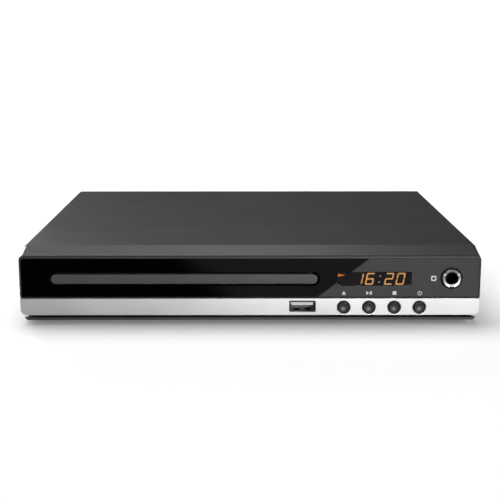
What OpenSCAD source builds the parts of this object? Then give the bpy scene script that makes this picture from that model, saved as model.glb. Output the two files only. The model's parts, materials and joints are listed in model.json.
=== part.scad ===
// Compact disc player with a motor-driven loading tray.
// Millimetres, +Z up, the front faces -Y, the feet stand on Z = 0.

/* [Casing] */
// Width of the steel top cover
body_w = 241.2; // [240:0.1:300]
// Depth from the front panel to the back of the cover
body_d = 203; // [203:1:260]
// Room behind the loader for the rear sockets
rear_room = 21; // [19:0.5:24]
// Height of the rubber feet
feet_h = 2; // [1.8:0.1:6]
// Thickness of the folded steel sheet
sheet_t = 0.8; // [0.6:0.1:1]
// Wall of the moulded front bezel
wall_t = 2.4; // [1.8:0.1:2.6]
// Depth of the sloping top of the bezel
slope_d = 13.4; // [12:0.1:13.5]
// Rise of the sloping top of the bezel
slope_rise = 3; // [2:0.1:6]
// Height of the rounding along the front edge of the sloping top
edge_h = 1; // [0.6:0.1:1.4]
// How far the bezel stands out past the cover on each side
bezel_proud = 0.3; // [0.2:0.1:1.5]
// Outside bend radius of the cover
bend_r = 1.4; // [1.2:0.1:3]

/* [Front face] */
// Gap between the underside of the casing and the metal strip
strip_gap = 2.9; // [2.6:0.1:4]
// Height of the metal-look strip
strip_h = 9; // [8.8:0.1:14]
// Dark joint between the strip and the gloss panel
joint_h = 0.8; // [0.4:0.1:1.5]
// Height of the gloss panel
panel_h = 20.7; // [20.2:0.1:30]
// Rim of the bezel above the gloss panel
rim_h = 0.6; // [0.4:0.1:1.5]
// Thickness of the gloss panel and of the strip
trim_t = 1.6; // [1.2:0.1:2]
// Radius of the lower corners of the front
corner_r = 3; // [1:0.1:4]

/* [Tray door] */
// Width of the tray door
door_w = 139.8; // [136:0.1:142]
// Height of the tray door
door_h = 5.2; // [5:0.1:6]
// Height of the middle of the door above the lower edge of the panel
door_rise = 9.7; // [9.5:0.05:10.5]
// Gap round the tray door
door_gap = 1.2; // [0.3:0.1:1.4]

/* [Loader] */
// Distance of the loader's middle to the left of the casing's middle
loader_offset = 34.5; // [33:0.1:36]
// Distance of the disc's middle behind the front
disc_y = 72; // [70:0.5:76]
// Width of the tray
tray_w = 130; // [128:0.5:131]
// Thickness of the tray
tray_h = 5.3; // [5.1:0.1:5.5]
// Diameter of the well for a full-size disc
well_d = 121.5; // [120.5:0.1:122]
// Diameter of the well for a small disc
small_well_d = 81.5; // [80.5:0.1:83]
// Width of the slot in the tray for the turntable and the pickup
slot_w = 40; // [36:0.5:44]
// Running clearance of the tray in its guides
tray_play = 0.3; // [0.2:0.05:0.5]
// Module of the rack under the tray
rack_module = 1; // [0.9:0.05:1]
// Thickness of the loader's moulded walls
loader_wall = 2; // [1.6:0.1:2.4]

/* [Disc drive] */
// Radius of the turntable
turntable_r = 14; // [12:0.5:15]
// Radius of the hub that centres the disc
hub_r = 7.4; // [7.2:0.05:7.45]
// Thickness of a disc
disc_t = 1.2; // [1.1:0.1:1.3]
// Radius of the two guide rods
rod_r = 1.5; // [1.2:0.1:1.8]
// Angle through which the traverse drops when the tray moves
drop_angle = 2.4; // [2:0.1:2.6]

/* [Controls and sockets] */
// Distance between the buttons
button_pitch = 13.3; // [12:0.1:14]
// Distance of the first button from the casing's middle
button_x = 49.3; // [46:0.1:50]
// Radius of a button's cap
button_r = 2.55; // [2:0.05:2.8]
// Radius of the round recess round a button
recess_r = 3.45; // [3.2:0.05:3.7]
// Travel of a button
button_travel = 0.6; // [0.3:0.1:0.6]
// Distance of the microphone jack from the right side of the casing
jack_inset = 15; // [13:0.1:16]
// Radius of the bore for a 6.35 mm plug
jack_bore_r = 3.25; // [3.2:0.01:3.4]
// Width of the display window
window_w = 38.7; // [36:0.1:40]
// Height of the display window
window_h = 7.3; // [6.5:0.1:8]
// Outer radius of a phono socket's sleeve
phono_r = 4.15; // [4.1:0.01:4.2]

/* [Hidden] */
$fn = 64;

// Screws
screw_head_r = 2.8;
screw_head_t = 1;
shank_r = 1.25;

// Casing levels and half widths
fit = 0.1;
floor_z = feet_h;
floor_top = floor_z + sheet_t;
strip_z = floor_z + strip_gap;
panel_z = strip_z + strip_h + joint_h;
front_top = panel_z + panel_h + rim_h;
body_h = front_top + edge_h + slope_rise;
cover_x = body_w / 2;
bezel_x = cover_x + bezel_proud;
chassis_x = cover_x - sheet_t - fit;
pan_chamfer = 2;
pan_front = 1;
pan_hem = 1.45;
top_r = 2.5;
side_wall_top = floor_z + 19.6;
cover_bottom = strip_z;
cover_under = body_h - sheet_t;
rear_wall_y = body_d - 2 * sheet_t;
rear_face_y = body_d - sheet_t;

// Whole length: the jack nut in front, the phono sockets behind
nut_proud = 1.6;
phono_l = 8.8;
front_y = -(rear_face_y + phono_l - nut_proud) / 2;

// Front face
panel_x = bezel_x - rim_h - 0.3;
panel_r = 1.7;
door_z = panel_z + door_rise;
door_t = 2.2;
door_end_r = door_h / 2 - 0.15;
window_x = button_x - 3.4;
window_z = panel_z + 6.1;
button_z = strip_z + 4.15;
jack_x = cover_x - jack_inset;
jack_z = panel_z + 10.25;
collar_r = 5.75;
nut_r = 4.7;
bushing_r = 4.2;
usb_w = 13.4;
usb_h = 5.6;
usb_x = button_x - 21.7;
usb_z = strip_z + 4.75;
usb_l = 14;
board_y = 10.4;
board_t = 1.6;
switch_h = 3.4;
plunger_r = 1.6;
plunger_l = 0.8;
flange_t = 0.8;
flange_y = wall_t + trim_t + 0.2;
stem_end = board_y - switch_h - plunger_l - button_travel - 0.1;
bezel_boss_r = 3;

// Loader stack, built down and up from the tray
loader_x = -loader_offset;
tray_z = door_z - tray_h / 2;
tray_top = tray_z + tray_h;
tray_floor_t = 1.5;
well_depth = 1.8;
small_well_depth = 0.7;
well_z = tray_top - well_depth;
tray_under = well_z - tray_floor_t;
loader_rear = body_d - rear_room;
tray_front = door_t;
tray_rear = loader_rear - 8;
skirt_t = 2;
rail_w = 4.4;
rail_t = 1.6;
rail_z = tray_z - tray_play + 0.1 - rail_t;
lip_w = 3.4;
lip_t = 1.5;
lip_z = tray_top + tray_play - 0.1;
guide_x = tray_w / 2 + tray_play + 0.1;
loader_half = guide_x + loader_wall;
loader_z = tray_z - 15;
loader_floor_t = 1.6;
loader_floor = loader_z + loader_floor_t;
loader_top = tray_top + 3.7;
loader_front = 20;
arm_front = 7.5;
deck_t = 1.4;
deck_z = tray_z - 8.4;
deck_top = deck_z + deck_t;
deck_front = board_y + board_t + screw_head_t + 0.4;
deck_rear = 46;
bay_front = 52;
bay_rear = loader_rear - 16;
bay_half = 50;
foot_post_r = 4;

// Gears and belt
drive_y = 30;
pinion_teeth = 18;
pinion_r = rack_module * pinion_teeth / 2;
tray_gear_x = 41;
rack_pitch_x = tray_gear_x + pinion_r;
rack_back = 57;
rack_h = tray_under - tray_z;
train_module = 0.7;
wheel_teeth = 36;
small_teeth = 16;
train_distance = train_module * (wheel_teeth + small_teeth) / 2;
pulley_x = tray_gear_x - train_distance;
motor_x = -22;
backlash = 0.16;
gear_t = 2;
train_z = deck_top + 0.3;
pulley_z = train_z + gear_t + 0.5;
pulley_t = 2.2;
pulley_r = 13.2;
motor_pulley_r = 3.4;
groove_depth = 1.2;
belt_t = 1.2;
post_r = 1.5;
bore_play = 0.12;
loading_motor_r = 10;
loading_motor_h = min(9.6, deck_z - floor_top - 0.5);

// Disc drive: the traverse at play height
disc_z = well_z + 1.1;
hub_h = 2;
turntable_t = 2;
rotor_z = disc_z - turntable_t - 2.7;
frame_t = 2;
frame_z = tray_under - 5.5;
frame_top = frame_z + frame_t;
frame_half = 48;
frame_front = bay_front + 0.8;
frame_rear = bay_rear - 4;
pivot_y = bay_rear - 8;
pivot_z = tray_under - 8;
pivot_r = 2;
spindle_motor_r = 11.5;
spindle_plate_t = 0.8;
rod_x = 28;
rod_z = frame_z - 2.3;
rod_front = disc_y + 8;
rod_rear = pivot_y + 1;
pickup_y = disc_y + 18;
pickup_l = 28;
pickup_half = 31;
pickup_z = tray_under - 10;
pickup_top = tray_under - 2.2;
lens_y = disc_y + 24;
lens_r = 3.4;
window_half = 33;
window_front = disc_y + 13;
window_rear = pivot_y - 2;
screw_x = 39;
screw_z = tray_under - 10.5;
screw_r = 1.5;
screw_front = disc_y + 19;
screw_rear = pivot_y - 5;
sled_motor_r = 4.5;
sled_motor_l = 17;
follower_r = 1.5;
cam_y = deck_rear + 2.2;
cam_t = 2;
cam_z = loader_floor + 0.2;
cam_stroke = 14;
cam_drop = (pivot_y - cam_y - cam_t / 2) * sin(drop_angle);
cam_slope = atan(cam_drop / cam_stroke);

// Clamp
puck_z = disc_z + disc_t + 0.1;
puck_r = 16;
puck_neck_r = 11;
puck_flange_r = 14;
bridge_t = 1.2;
bridge_hole_r = puck_neck_r + 0.75;
bridge_ring_r = 21;
bridge_w = 24;

// Boards and rear sockets
main_z = floor_top + 6;
rear_board_z = main_z;
board_x0 = loader_x + loader_half + 5;
board_x1 = chassis_x - sheet_t - 2.5;
main_y0 = 20;
power_y1 = rear_wall_y - 0.8;
power_y0 = power_y1 - 76.6;
main_y1 = power_y0 - 6;
standoff_r = 3;
rear_board_y0 = loader_rear + 0.6;
rear_board_x0 = loader_x - 36;
rear_board_x1 = loader_x + 62;
phono_pitch_x = 14;
phono_pitch_z = 13;
phono_x = loader_x - 18;
phono_z = rear_board_z + board_t + 4.6;
phono_wall = 0.5;
phono_collar = 0.2;
phono_cols = 3;
video_x = loader_x + 44;
video_w = 15;
video_h = 5.6;
inlet_x = board_x1 - 20;
inlet_z = main_z + board_t + 8;
inlet_w = 25;
inlet_h = 15;

// ---------------------------------------------------------------- shapes

// Moves what is drawn from the front face to the frame's origin
module at_front() {
    translate([0, front_y, 0]) children();
}

// Moves what is drawn from the loader's middle line to the casing
module at_loader() {
    translate([loader_x, front_y, 0]) children();
}

// Raises an X-Z outline into a plate from y0 to y0 + t
module upright(y0, t) {
    translate([0, y0 + t, 0]) rotate([90, 0, 0]) linear_extrude(t) children();
}

// Raises a Y-Z outline into a bar from x0 to x0 + l
module sideways(x0, l) {
    translate([x0, 0, 0]) rotate([90, 0, 90]) linear_extrude(l) children();
}

// A box from its lowest corner to its highest
module block(low, high) {
    translate(low) cube(high - low);
}

// A round bar along Y from y0, at x and z
module rod_y(x, z, y0, l, r) {
    translate([x, y0, z]) rotate([-90, 0, 0]) cylinder(h = l, r = r);
}

// A round bar along X from x0, at y and z
module rod_x(x0, y, z, l, r) {
    translate([x0, y, z]) rotate([0, 90, 0]) cylinder(h = l, r = r);
}

// A centred rectangle with round corners
module soft_rect(w, h, r) {
    square([w - 2 * r, h], center = true);
    square([w, h - 2 * r], center = true);
    for (sx = [-1, 1], sy = [-1, 1])
        translate([sx * (w / 2 - r), sy * (h / 2 - r)]) circle(r);
}

// A slot of width w whose round ends are centred l apart along X
module slot_2d(l, w) {
    square([l, w], center = true);
    for (s = [-1, 1]) translate([s * l / 2, 0]) circle(w / 2, $fn = 24);
}

// Front outline of the bezel below its roof, the two lower corners rounded
module face_outline(x, z0, z1, r) {
    translate([r - x, z0]) square([2 * (x - r), z1 - z0]);
    translate([-x, z0 + r]) square([2 * x, z1 - z0 - r]);
    for (s = [-1, 1]) translate([s * (x - r), z0 + r]) circle(r);
}

// Path of a pan from one upright edge to the other, over two chamfered bends
function pan_path(x, z0, z1, ch) =
    [[x, z1], [x, z0 + ch], [x - ch, z0], [ch - x, z0], [-x, z0 + ch], [-x, z1]];
function rear_wall_path(x, z1, r) = concat([[r - x, z1], [x - r, z1]],
    pan_path(x, floor_z, z1 - r, pan_chamfer));
function backwards(pts) = [for (i = [len(pts) - 1:-1:0]) pts[i]];

// Folded pan: a flat floor with upright sides
module pan_outline(top) {
    inner_chamfer = pan_chamfer - sheet_t * (2 - sqrt(2));
    polygon(concat(pan_path(chassis_x, floor_z, top, pan_chamfer),
        backwards(pan_path(chassis_x - sheet_t, floor_top, top, inner_chamfer))));
}

// Front lip of the pan, between its chamfers
module hem_outline(h) {
    x = chassis_x - pan_chamfer;
    polygon([[-x, floor_z], [x, floor_z], [x + h, floor_z + h], [-x - h, floor_z + h]]);
}

// Cover seen from the front: upright sides and two rounded top bends
module cover_outline(x, z0, z1, r) {
    translate([-x, z0]) square([2 * x, z1 - r - z0]);
    translate([r - x, z0]) square([2 * (x - r), z1 - z0]);
    for (s = [-1, 1]) translate([s * (x - r), z1 - r]) circle(r);
}

// Involute gear outline
function inv_angle(a) = tan(a) * 180 / PI - a;
function flank(r, rb, half) = r <= rb ? half : half - inv_angle(acos(rb / r));
function polar(r, a) = [r * cos(a), r * sin(a)];
function gear_radii(m, z) =
    let (rf = m * (z / 2 - 1.25), ra = m * (z / 2 + 1), rb = m * z / 2 * cos(20), n = 3)
    concat([rf], [for (i = [0:n]) max(rf, rb) + (ra - max(rf, rb)) * i / n]);
function gear_points(m, z, play) =
    let (rb = m * z / 2 * cos(20), rs = gear_radii(m, z), k = len(rs),
         half = 90 / z - play / (m * z) * 180 / PI + inv_angle(20))
    [for (i = [0:z - 1], j = [0:2 * k - 1])
        let (r = j < k ? rs[j] : rs[2 * k - 1 - j], s = j < k ? -1 : 1)
        polar(r, 360 * i / z + s * flank(r, rb, half))];
module gear_2d(m, z) {
    polygon(gear_points(m, z, backlash));
}

// Rack outline along Y: a space is centred at y = 0 and the teeth point to -X
module rack_2d(m, back, before, behind) {
    p = PI * m;
    tip = (p / 2 - backlash) / 2 - m * tan(20);
    root = (p / 2 - backlash) / 2 + 1.25 * m * tan(20);
    first = ceil(before / p - 0.5);
    last = floor(behind / p - 0.5);
    teeth = [for (i = [first:last]) let (y = (i + 0.5) * p)
        each [[1.25 * m, y - root], [-m, y - tip], [-m, y + tip], [1.25 * m, y + root]]];
    polygon(concat([[back, before], [1.25 * m, before]], teeth,
        [[1.25 * m, behind], [back, behind]]));
}

// Closed outline round two wheels: two arcs and the straight runs that touch both
module belt_outline(x0, r0, x1, r1) {
    a = acos((r0 - r1) / (x1 - x0));
    n = 24;
    polygon(concat(
        [for (i = [0:n]) [x0, 0] + polar(r0, a + (360 - 2 * a) * i / n)],
        [for (i = [0:n]) [x1, 0] + polar(r1, -a + 2 * a * i / n)]));
}

// Pan-head screw pointing to -Z, its head seated on Z = 0
module screw(l) {
    cylinder(h = screw_head_t, r = screw_head_r);
    translate([0, 0, -l]) cylinder(h = l, r = shank_r);
}

// ---------------------------------------------------------------- casing

foot_inset = 22;
foot_r = 9;
stud_r = 2.4;
feet_at = [for (s = [-1, 1], y = [foot_inset + 2, body_d - foot_inset - 2])
    [s * (chassis_x - foot_inset), y]];
loader_feet_at = [for (s = [-1, 1], y = [40, loader_rear - 17]) [s * 60, y]];
main_holes = [for (x = [board_x0 + 4, board_x1 - 4], y = [main_y0 + 4, main_y1 - 4]) [x, y]];
power_holes = [for (x = [board_x0 + 4, board_x1 - 4], y = [power_y0 + 4, power_y1 - 30]) [x, y]];
rear_holes = [for (x = [rear_board_x0 + 4, rear_board_x1 - 4]) [x, rear_board_y0 + 5]];
rear_screw_x = [-100, 0, 100];
rear_screw_z = body_h - 3.8;
side_screw_y = [50, body_d - 53];
side_vent_y = disc_y + 36;
side_vents = floor((body_d - 17 - side_vent_y) / 6);
rear_vent_x = -chassis_x + 16;
rear_vents = floor((phono_x - phono_r - 4.4 - rear_vent_x) / 4.4);
side_screw_z = floor_z + 12;

// Hollow post on the floor that carries a board
module standoff(at, top) {
    translate([at[0], at[1], floor_z]) cylinder(h = top - floor_z, r = standoff_r, $fn = 32);
}

// Row of round-ended slots through the floor, one behind the other
module floor_slots(x, y, n, l) {
    for (i = [0:n - 1])
        translate([x, y + 7 * i, floor_z - 1]) linear_extrude(sheet_t + 2) slot_2d(l, 2.6);
}

// Openings of the rear wall, seen from the front
module rear_openings() {
    for (i = [0:phono_cols - 1], j = [0, 1])
        translate([phono_x + i * phono_pitch_x, phono_z + j * phono_pitch_z])
            circle(phono_r + 0.4);
    translate([video_x, rear_board_z + board_t + video_h / 2])
        square([video_w + 0.6, video_h + 0.6], center = true);
    translate([inlet_x, inlet_z]) square([inlet_w + 0.4, inlet_h + 0.4], center = true);
    for (i = [0:rear_vents])
        translate([rear_vent_x + 4.4 * i, panel_z + 5]) rotate(90) slot_2d(14, 2);
    for (x = rear_screw_x) translate([x, rear_screw_z]) circle(shank_r + fit);
}

module bottom_chassis() {
    side_front = slope_d + 0.2;
    color("dimgray") at_front() difference() {
        union() {
            upright(side_front, rear_wall_y - side_front) pan_outline(side_wall_top);
            upright(pan_front, 2) hem_outline(pan_hem);
            upright(pan_front, side_front - pan_front) hem_outline(sheet_t);
            upright(rear_wall_y, sheet_t)
                polygon(rear_wall_path(chassis_x, cover_under - fit, bend_r));
            for (at = concat(main_holes, power_holes)) standoff(at, main_z);
            for (at = rear_holes) standoff(at, rear_board_z);
        }
        upright(rear_wall_y - 1, sheet_t + 2) rear_openings();
        floor_slots(loader_x, disc_y + 8, 6, 30);
        floor_slots((board_x0 + board_x1) / 2, power_y0 + 14, 5, 24);
        for (at = feet_at) translate([at[0], at[1], floor_z - 1]) cylinder(h = 4, r = stud_r + fit);
        for (at = loader_feet_at)
            translate([loader_x + at[0], at[1], floor_z - 1]) cylinder(h = 4, r = shank_r + fit);
        for (at = concat(main_holes, power_holes, rear_holes))
            translate([at[0], at[1], floor_z - 1]) cylinder(h = 20, r = shank_r, $fn = 32);
        for (at = bezel_lugs_at)
            translate([at, bezel_lug_y, floor_z - 1]) cylinder(h = 4, r = shank_r + fit);
        for (y = side_screw_y)
            rod_x(-chassis_x - 1, y, side_screw_z, 2 * chassis_x + 2, shank_r + fit);
    }
}

module top_cover() {
    flange_h = 6.8;
    color([0.16, 0.16, 0.17]) at_front() difference() {
        union() {
            upright(slope_d, body_d - slope_d) difference() {
                cover_outline(cover_x, cover_bottom, body_h, bend_r);
                cover_outline(cover_x - sheet_t, cover_bottom - 1, cover_under, bend_r - sheet_t);
            }
            block([12 - cover_x, rear_face_y, body_h - flange_h],
                [cover_x - 12, body_d, cover_under + sheet_t / 2]);
        }
        for (i = [0:side_vents], z = [body_h - 18, body_h - 9])
            side_slot(side_vent_y + 6 * i, z);
        for (y = side_screw_y)
            rod_x(-cover_x - 1, y, side_screw_z, 2 * cover_x + 2, shank_r + fit);
        for (x = rear_screw_x)
            rod_y(x, rear_screw_z, rear_face_y - 1, sheet_t + 2, shank_r + fit);
    }
}

// Upright vent slot through both sides of the cover
module side_slot(y, z) {
    sideways(-cover_x - 1, 2 * cover_x + 2) translate([y, z]) rotate(90) slot_2d(4, 2);
}

module cover_screws() {
    color("black") at_front() {
        for (x = rear_screw_x)
            translate([x, body_d, rear_screw_z]) rotate([-90, 0, 0]) screw(8);
        for (y = side_screw_y, s = [-1, 1])
            translate([s * cover_x, y, side_screw_z]) rotate([0, s * 90, 0]) screw(6);
    }
}

module rubber_feet() {
    color("black") at_front() for (at = feet_at) translate([at[0], at[1], 0]) {
        cylinder(h = 0.8, r1 = foot_r - 0.8, r2 = foot_r);
        translate([0, 0, 0.8]) cylinder(h = feet_h - 0.8, r = foot_r);
        translate([0, 0, feet_h]) cylinder(h = sheet_t, r = stud_r);
        translate([0, 0, floor_top]) cylinder(h = 0.9, r1 = stud_r + 0.8, r2 = stud_r - 0.4);
    }
}

// ---------------------------------------------------------------- front

bezel_side_t = 1;
joint_depth = 1.4;
bezel_lugs_at = [-70, 0, 70];
bezel_lug_y = 10;
slope_angle = atan(slope_rise / slope_d);
board_low = strip_z + bezel_side_t + 0.2;
board_left = usb_x - 13.6;
board_mid = loader_x + loader_half + 3.9;
board_step = rail_z - 0.5;
board_right = cover_x - 4;
board_high = front_top - 1.6;
receiver_r = 2.3;
receiver_x = button_x + 2.5 * button_pitch;
receiver_z = (panel_z + window_z) / 2 - 1.4;
jack_half_x = 7.2;
jack_half_z = 6.8;
board_jack_x = jack_x - jack_half_x - 1.2;
board_jack_z = jack_z - jack_half_z - 1.2;
board_bosses = [[usb_x - 10.4, board_step - 3.6], [board_mid + 3.6, board_high - 4],
    [board_jack_x - 3.6, board_high - 4], [board_right - 4, board_jack_z - 4]];

// Outline of the door, grown by g
module door_2d(g) {
    translate([loader_x, door_z]) soft_rect(door_w + 2 * g, door_h + 2 * g, door_end_r + g);
}

// Outline of the gloss panel, its upper corners rounded, grown by g
module panel_2d(g) {
    r = panel_r + g;
    x = panel_x + g;
    z1 = panel_z + panel_h + g;
    translate([-x, panel_z - g]) square([2 * x, panel_h + 2 * g - r]);
    translate([r - x, panel_z - g]) square([2 * (x - r), panel_h + 2 * g]);
    for (s = [-1, 1]) translate([s * (x - r), z1 - r]) circle(r);
}

// Outline of the display window, grown by g
module window_2d(g) {
    translate([window_x + window_w / 2, window_z + window_h / 2])
        square([window_w + 2 * g, window_h + 2 * g], center = true);
}

// Outline of the memory-stick socket, grown by g
module usb_2d(g) {
    translate([usb_x, usb_z]) soft_rect(usb_w + 2 * g, usb_h + 2 * g, 0.5 + g);
}

// Places a round shape at each of the four buttons
module at_buttons() {
    for (i = [0:3]) translate([button_x + i * button_pitch, button_z]) children();
}

// Arc that joins the front face of the bezel to its sloping top
function front_arc(n) =
    let (turn = 90 - slope_angle, r = edge_h / tan(turn / 2))
    [for (i = [n:-1:0]) [r - r * cos(turn * i / n), front_top + r * sin(turn * i / n)]];

// What rounds off the sloping top edge of the bezel on side s
module edge_cutter(s) {
    translate([s * bezel_x, 0, front_top + edge_h]) rotate([slope_angle, 0, 0])
        upright(-5, 2 * slope_d) scale([s, 1]) difference() {
            translate([-top_r, -top_r]) square(top_r + 1);
            translate([-top_r, -top_r]) circle(top_r);
        }
}

// Solid body of the bezel, then the hollow behind its front wall
module bezel_body() {
    joint_z = strip_z + strip_h + fit;
    difference() {
        intersection() {
            upright(-1, slope_d + 2) face_outline(bezel_x, strip_z, body_h + 5, corner_r);
            sideways(-bezel_x - 1, 2 * bezel_x + 2)
                polygon(concat([[trim_t, strip_z - 1], [slope_d, strip_z - 1],
                    [slope_d, body_h]], front_arc(5), [[0, panel_z], [joint_depth, panel_z],
                    [joint_depth, joint_z], [trim_t, joint_z]]));
        }
        edge_cutter(-1);
        edge_cutter(1);
    }
}

module bezel_hollow() {
    under = front_top + edge_h - wall_t / cos(slope_angle);
    intersection() {
        upright(trim_t + wall_t, slope_d) face_outline(bezel_x - bezel_side_t,
            strip_z + bezel_side_t, body_h, corner_r - 0.9);
        sideways(-bezel_x - 1, 2 * bezel_x + 2)
            polygon([[0, strip_z], [2 * slope_d, strip_z],
                [2 * slope_d, under + 2 * slope_rise], [0, under]]);
    }
}

module front_bezel() {
    color([0.1, 0.1, 0.11]) at_front() difference() {
        union() {
            difference() {
                bezel_body();
                bezel_hollow();
            }
            block([4 - cover_x, slope_d - 1, cover_under - fit - 1.6],
                [cover_x - 4, slope_d + 4, cover_under - fit]);
            for (at = board_bosses)
                rod_y(at[0], at[1], trim_t + wall_t - 0.5, board_y - trim_t - wall_t + 0.5,
                    bezel_boss_r);
            for (x = bezel_lugs_at) translate([x, bezel_lug_y, floor_top])
                cylinder(h = strip_z + bezel_side_t - floor_top, r = 3);
        }
        upright(-1, 12) door_2d(door_gap);
        upright(-1, trim_t + 1) panel_2d(0);
        upright(trim_t - 0.5, wall_t + 1) window_2d(0.4);
        rod_y(receiver_x, receiver_z, trim_t - 0.5, wall_t + 1, receiver_r);
        upright(-1, 12) usb_2d(0.25);
        upright(-1, wall_t + trim_t + 2) at_buttons() circle(button_r + 0.2);
        rod_y(jack_x, jack_z, -1, wall_t + trim_t + 2, bushing_r + fit);
        for (at = board_bosses)
            rod_y(at[0], at[1], trim_t + wall_t + 0.6, board_y, shank_r);
        for (x = bezel_lugs_at) translate([x, bezel_lug_y, floor_top - 1])
            cylinder(h = 3.4, r = shank_r);
    }
}

module gloss_panel() {
    color([0.03, 0.03, 0.035]) at_front() difference() {
        upright(0, trim_t) difference() {
            panel_2d(-fit);
            door_2d(door_gap);
            window_2d(fit);
        }
        rod_y(jack_x, jack_z, -1, trim_t + 2, bushing_r + fit);
    }
}

module silver_strip() {
    halo = 0.35;
    color([0.75, 0.76, 0.78]) at_front() difference() {
        upright(0, trim_t) difference() {
            face_outline(bezel_x, strip_z, strip_z + strip_h, corner_r);
            usb_2d(0.25);
            at_buttons() circle(recess_r);
        }
        for (i = [0:3]) translate([button_x + i * button_pitch, -fit, button_z])
            rotate([-90, 0, 0]) cylinder(h = halo + fit, r1 = recess_r + halo, r2 = recess_r - fit);
    }
}

module display_filter() {
    color([0.12, 0.08, 0.12]) at_front() upright(0.15, 1.1) window_2d(0);
}

module tray_door() {
    color([0.3, 0.3, 0.31]) at_front() upright(0, door_t) door_2d(0);
}

// Dished cap, collar and stem of one button
module button(i) {
    cap_y = 0.2;
    dish = 0.5;
    edge = 0.2;
    dish_half = button_r - edge;
    dish_r = (dish_half * dish_half + dish * dish) / (2 * dish);
    x = button_x + i * button_pitch;
    color([0.2, 0.2, 0.21]) at_front() {
        difference() {
            union() {
                rod_y(x, button_z, cap_y + edge, flange_y + 0.1 - cap_y - edge, button_r);
                translate([x, cap_y, button_z]) rotate([-90, 0, 0])
                    cylinder(h = edge, r1 = button_r - edge / 2, r2 = button_r);
            }
            translate([x, cap_y + dish - dish_r, button_z]) sphere(dish_r, $fn = 96);
        }
        rod_y(x, button_z, flange_y, flange_t, button_r + 0.5);
        rod_y(x, button_z, flange_y, stem_end - flange_y, 1.1);
    }
}

module eject_button() { button(0); }
module play_button() { button(1); }
module stop_button() { button(2); }
module power_button() { button(3); }

module jack_collar() {
    color("black") at_front() difference() {
        union() {
            rod_y(jack_x, jack_z, -0.6, 0.6, collar_r);
            translate([jack_x, -0.6, jack_z]) rotate([90, 0, 0])
                cylinder(h = 0.3, r1 = collar_r, r2 = collar_r - 0.3);
        }
        rod_y(jack_x, jack_z, -2, 3, nut_r + fit);
    }
}

module jack_nut() {
    slots = 3;
    slot_t = 1.3;
    color("silver") at_front() difference() {
        union() {
            rod_y(jack_x, jack_z, -nut_proud + 0.3, nut_proud - 0.3, nut_r);
            translate([jack_x, -nut_proud + 0.3, jack_z]) rotate([90, 0, 0])
                cylinder(h = 0.3, r1 = nut_r, r2 = nut_r - 0.3);
        }
        rod_y(jack_x, jack_z, -3, 4, jack_bore_r);
        rod_y(jack_x, jack_z, -0.7, 2, bushing_r + 0.02);
        for (i = [0:slots - 1]) translate([jack_x, -nut_proud, jack_z])
            rotate([0, 90 + 360 * i / slots, 0])
                translate([jack_bore_r - 0.5, -0.1, -slot_t / 2]) cube([3, 0.8, slot_t]);
    }
}

module microphone_jack() {
    body_l = 30;
    color([0.08, 0.08, 0.08]) at_front() difference() {
        union() {
            block([jack_x - jack_half_x, wall_t + trim_t, jack_z - jack_half_z],
                [jack_x + jack_half_x, wall_t + trim_t + body_l, jack_z + jack_half_z]);
            rod_y(jack_x, jack_z, -0.6, wall_t + trim_t + 1, bushing_r);
        }
        rod_y(jack_x, jack_z, -1, body_l, jack_bore_r);
    }
}

module usb_socket() {
    shell = 0.35;
    front = 0.5;
    spring_x = 3;
    color("silver") at_front() {
        difference() {
            upright(front, usb_l) difference() {
                usb_2d(0);
                usb_2d(-shell);
            }
            for (s = [-1, 1]) translate([usb_x + s * spring_x, front + 4.2, usb_z - usb_h / 2 - 1])
                linear_extrude(1 + 2 * shell) rotate(90) slot_2d(3.4, 3);
        }
        upright(front + usb_l - 1, 1) usb_2d(-shell / 2);
        block([usb_x - 5.6, front + 1, usb_z + 0.3],
            [usb_x + 5.6, front + usb_l - 0.5, usb_z + 1.9]);
    }
}

module front_board() {
    color("darkgreen") at_front() difference() {
        upright(board_y, board_t) difference() {
            polygon([[board_left, board_low], [board_right, board_low],
                [board_right, board_jack_z], [board_jack_x, board_jack_z],
                [board_jack_x, board_high], [board_mid, board_high],
                [board_mid, board_step], [board_left, board_step]]);
            usb_2d(0.25);
            translate([usb_x - usb_w / 2 - 0.25, strip_z]) square([usb_w + 0.5, usb_z - strip_z]);
        }
        for (at = board_bosses) rod_y(at[0], at[1], board_y - 1, board_t + 2, shank_r + fit);
    }
}

module tact_switches() {
    w = 5.6;
    color([0.15, 0.15, 0.15]) at_front() {
        upright(board_y - switch_h, switch_h) at_buttons() square(w, center = true);
        upright(board_y - switch_h - plunger_l, plunger_l) at_buttons() circle(plunger_r);
    }
}

module led_display() {
    face_y = 1.9;
    color([0.1, 0.06, 0.06]) at_front() {
        upright(face_y, board_y - face_y) window_2d(-0.1);
        upright(wall_t + trim_t + 0.4, board_y - wall_t - trim_t - 0.4) window_2d(1.4);
    }
}

// Receiver for a remote control, behind its own hole in the bezel
module infrared_receiver() {
    half = 2.8;
    t = 3;
    color([0.1, 0.05, 0.08]) at_front() translate([receiver_x, board_y - t, receiver_z]) {
        block([-half, 0, -half], [half, t, half]);
        intersection() {
            sphere(receiver_r, $fn = 48);
            block([-half, -half, -half], [half, t / 2, half]);
        }
    }
}

// ---------------------------------------------------------------- loader

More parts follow.
